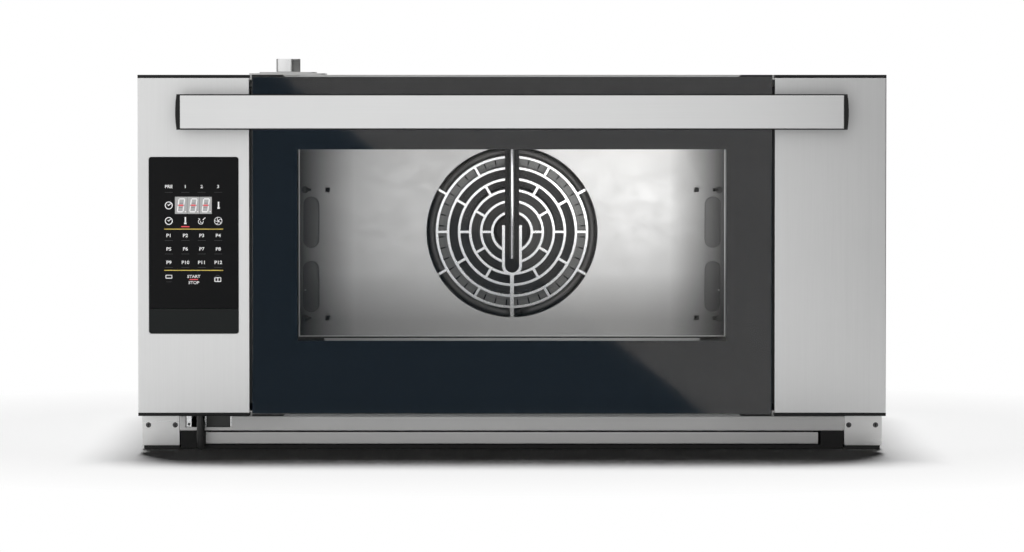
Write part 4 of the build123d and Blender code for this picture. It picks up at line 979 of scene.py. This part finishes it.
# each card that shows only in reflections: its corners in turn round the card, and its colour
flags = {
    # its slanted edge lies across the glass in the reflection
    "slantedFlag": ([(-0.5605, -7.2, 0.43), (0.507, -7.2, -0.42), (-0.68, -7.2, -0.42), (-0.68, -7.2, 0.43)],
                    (0.21, 0.31, 0.42)),
    "rightFlag": ([(0.5, -1.4, -0.6), (2.2, -1.4, -0.6), (2.2, -1.4, 1.6), (0.5, -1.4, 1.6)], (0.0, 0.0, 0.0)),
    "sideFlag": ([(2.2, -1.4, 0.0), (2.2, 1.6, 0.0), (2.2, 1.6, 1.6), (2.2, -1.4, 1.6)], (0.08, 0.08, 0.08)),
    "rearLeftFlag": ([(-2.2, 1.6, 0.0), (-0.6, 1.6, 0.0), (-0.6, 1.6, 1.6), (-2.2, 1.6, 1.6)], (0.2, 0.2, 0.2)),
    "rearRightFlag": ([(0.6, 1.6, 0.0), (2.2, 1.6, 0.0), (2.2, 1.6, 1.6), (0.6, 1.6, 1.6)], (0.2, 0.2, 0.2)),
}


def mixShaders(tree, factor, first, second):
    mix = tree.nodes.new("ShaderNodeMixShader")
    tree.links.new(factor, mix.inputs[0])
    tree.links.new(first, mix.inputs[1])
    tree.links.new(second, mix.inputs[2])
    return mix.outputs[0]


def seenDirectly(tree):
    # 1 for rays from the camera, from metal and through glass, unless a matt surface came first
    rays = tree.nodes.new("ShaderNodeLightPath")
    seen = mathNode(tree, "ADD", rays.outputs["Is Camera Ray"], rays.outputs["Is Glossy Ray"], True)
    seen = mathNode(tree, "ADD", seen, rays.outputs["Is Transmission Ray"], True)
    return mathNode(tree, "SUBTRACT", seen, rays.outputs["Diffuse Depth"], True)


def floorPiece(name, low, high):
    bpy.ops.mesh.primitive_plane_add(size=1, location=(0, (low + high) / 2, 0))
    floor = bpy.context.object
    floor.scale = (2 * studio["floorReach"], high - low, 1)
    settle(floor)
    floor.name = name
    return floor


def buildFloor():
    floor = floorPiece("studio_floor", studio["floorSplit"], studio["floorReach"])
    front = floorPiece("front_floor", -studio["floorReach"], studio["floorSplit"])
    front.visible_glossy = False
    front.visible_transmission = False
    material, tree, shader, place = startMaterial("paleFloor")
    mottle = noiseNode(tree, place, 3.0, 2.0, 0.5)
    tree.links.new(colourMix(tree, mottle, studio["floor"], tuple(part * 0.99 for part in studio["floor"])),
                   shader.inputs["Base Color"])
    shader.inputs["Roughness"].default_value = 0.9
    shader.inputs["Specular IOR Level"].default_value = 0.0
    length = tree.nodes.new("ShaderNodeVectorMath")
    length.operation = "LENGTH"
    tree.links.new(place, length.inputs[0])
    far = rangeNode(tree, length.outputs["Value"], studio["nearFloor"], studio["farFloor"], 0.0, 1.0)
    white = tree.nodes.new("ShaderNodeEmission")
    white.inputs["Strength"].default_value = 1.0
    blend = mathNode(tree, "MULTIPLY", far, seenDirectly(tree))
    surface = mixShaders(tree, blend, shader.outputs[0], white.outputs[0])
    tree.links.new(surface, tree.nodes["Material Output"].inputs["Surface"])
    for piece in (floor, front):
        piece.data.materials.append(material)


def buildWorld():
    world = bpy.data.worlds.new("studioSky")
    bpy.context.scene.world = world
    world.use_nodes = True
    tree = world.node_tree
    background = tree.nodes["Background"]
    white = tree.nodes.new("ShaderNodeBackground")
    for node, strength in ((background, studio["fill"]), (white, 1.0)):
        node.inputs["Color"].default_value = (1, 1, 1, 1)
        node.inputs["Strength"].default_value = strength
    surface = mixShaders(tree, seenDirectly(tree), background.outputs[0], white.outputs[0])
    tree.links.new(surface, tree.nodes["World Output"].inputs["Surface"])


def addFlag(name, corners, tint):
    clearSelection()
    bpy.ops.mesh.primitive_plane_add(size=1)
    flag = bpy.context.object
    flag.name = name
    mesh = flag.data
    for vertex, corner in zip((0, 1, 3, 2), corners):
        mesh.vertices[vertex].co = corner
    material, tree, shader, place = startMaterial(name)
    weave = noiseNode(tree, place, 300.0, 2.0, 0.5)
    tree.links.new(colourMix(tree, weave, tuple(part * 0.9 for part in tint), tint),
                   shader.inputs["Emission Color"])
    shader.inputs["Emission Strength"].default_value = 1.0
    shader.inputs["Base Color"].default_value = (0, 0, 0, 1)
    shader.inputs["Specular IOR Level"].default_value = 0.0
    mesh.materials.append(material)
    hideFrom(flag, ("camera", "diffuse", "shadow", "volume_scatter"))


def hideFrom(item, kinds):
    for kind in kinds:
        setattr(item, "visible_" + kind, False)


def addObject(name, data):
    item = bpy.data.objects.new(name, data)
    bpy.context.scene.collection.objects.link(item)
    return item


def aimAlong(direction):
    return direction.to_track_quat("-Z", "Y").to_euler()


def buildLights():
    # a high lamp behind the oven throws its shadow to the front, and a low one lights the front
    data = bpy.data.lights.new("highLamp", "SUN")
    data.energy = studio["sunPower"]
    data.angle = math.radians(studio["sunSpread"])
    sun = addObject("highLamp", data)
    sun.rotation_euler = aimAlong(Vector(studio["sunAim"]))
    hideFrom(sun, ("glossy",))
    for name, (place, target, size, power, colour, hidden) in lamps.items():
        data = bpy.data.lights.new(name, "AREA")
        data.shape = "RECTANGLE"
        data.size, data.size_y = size
        data.energy = power
        data.color = colour
        lamp = addObject(name, data)
        lamp.location = place
        lamp.rotation_euler = aimAlong(Vector(target) - Vector(place))
        hideFrom(lamp, hidden)
    for name, (corners, tint) in flags.items():
        addFlag(name, corners, tint)


def buildCamera():
    data = bpy.data.cameras.new("photoCamera")
    data.lens = studio["lens"]
    data.sensor_width = 36.0
    data.clip_end = 200.0
    camera = addObject("photoCamera", data)
    front = studio["doorFront"]
    camera.location = (0, front - studio["cameraDistance"], studio["cameraHeight"])
    camera.rotation_euler = aimAlong(Vector((0, front, studio["aimHeight"])) - camera.location)
    bpy.context.scene.camera = camera


buildFloor()
buildWorld()
buildLights()
buildCamera()
bpy.context.scene.view_settings.view_transform = "Standard"
print("studio ready")
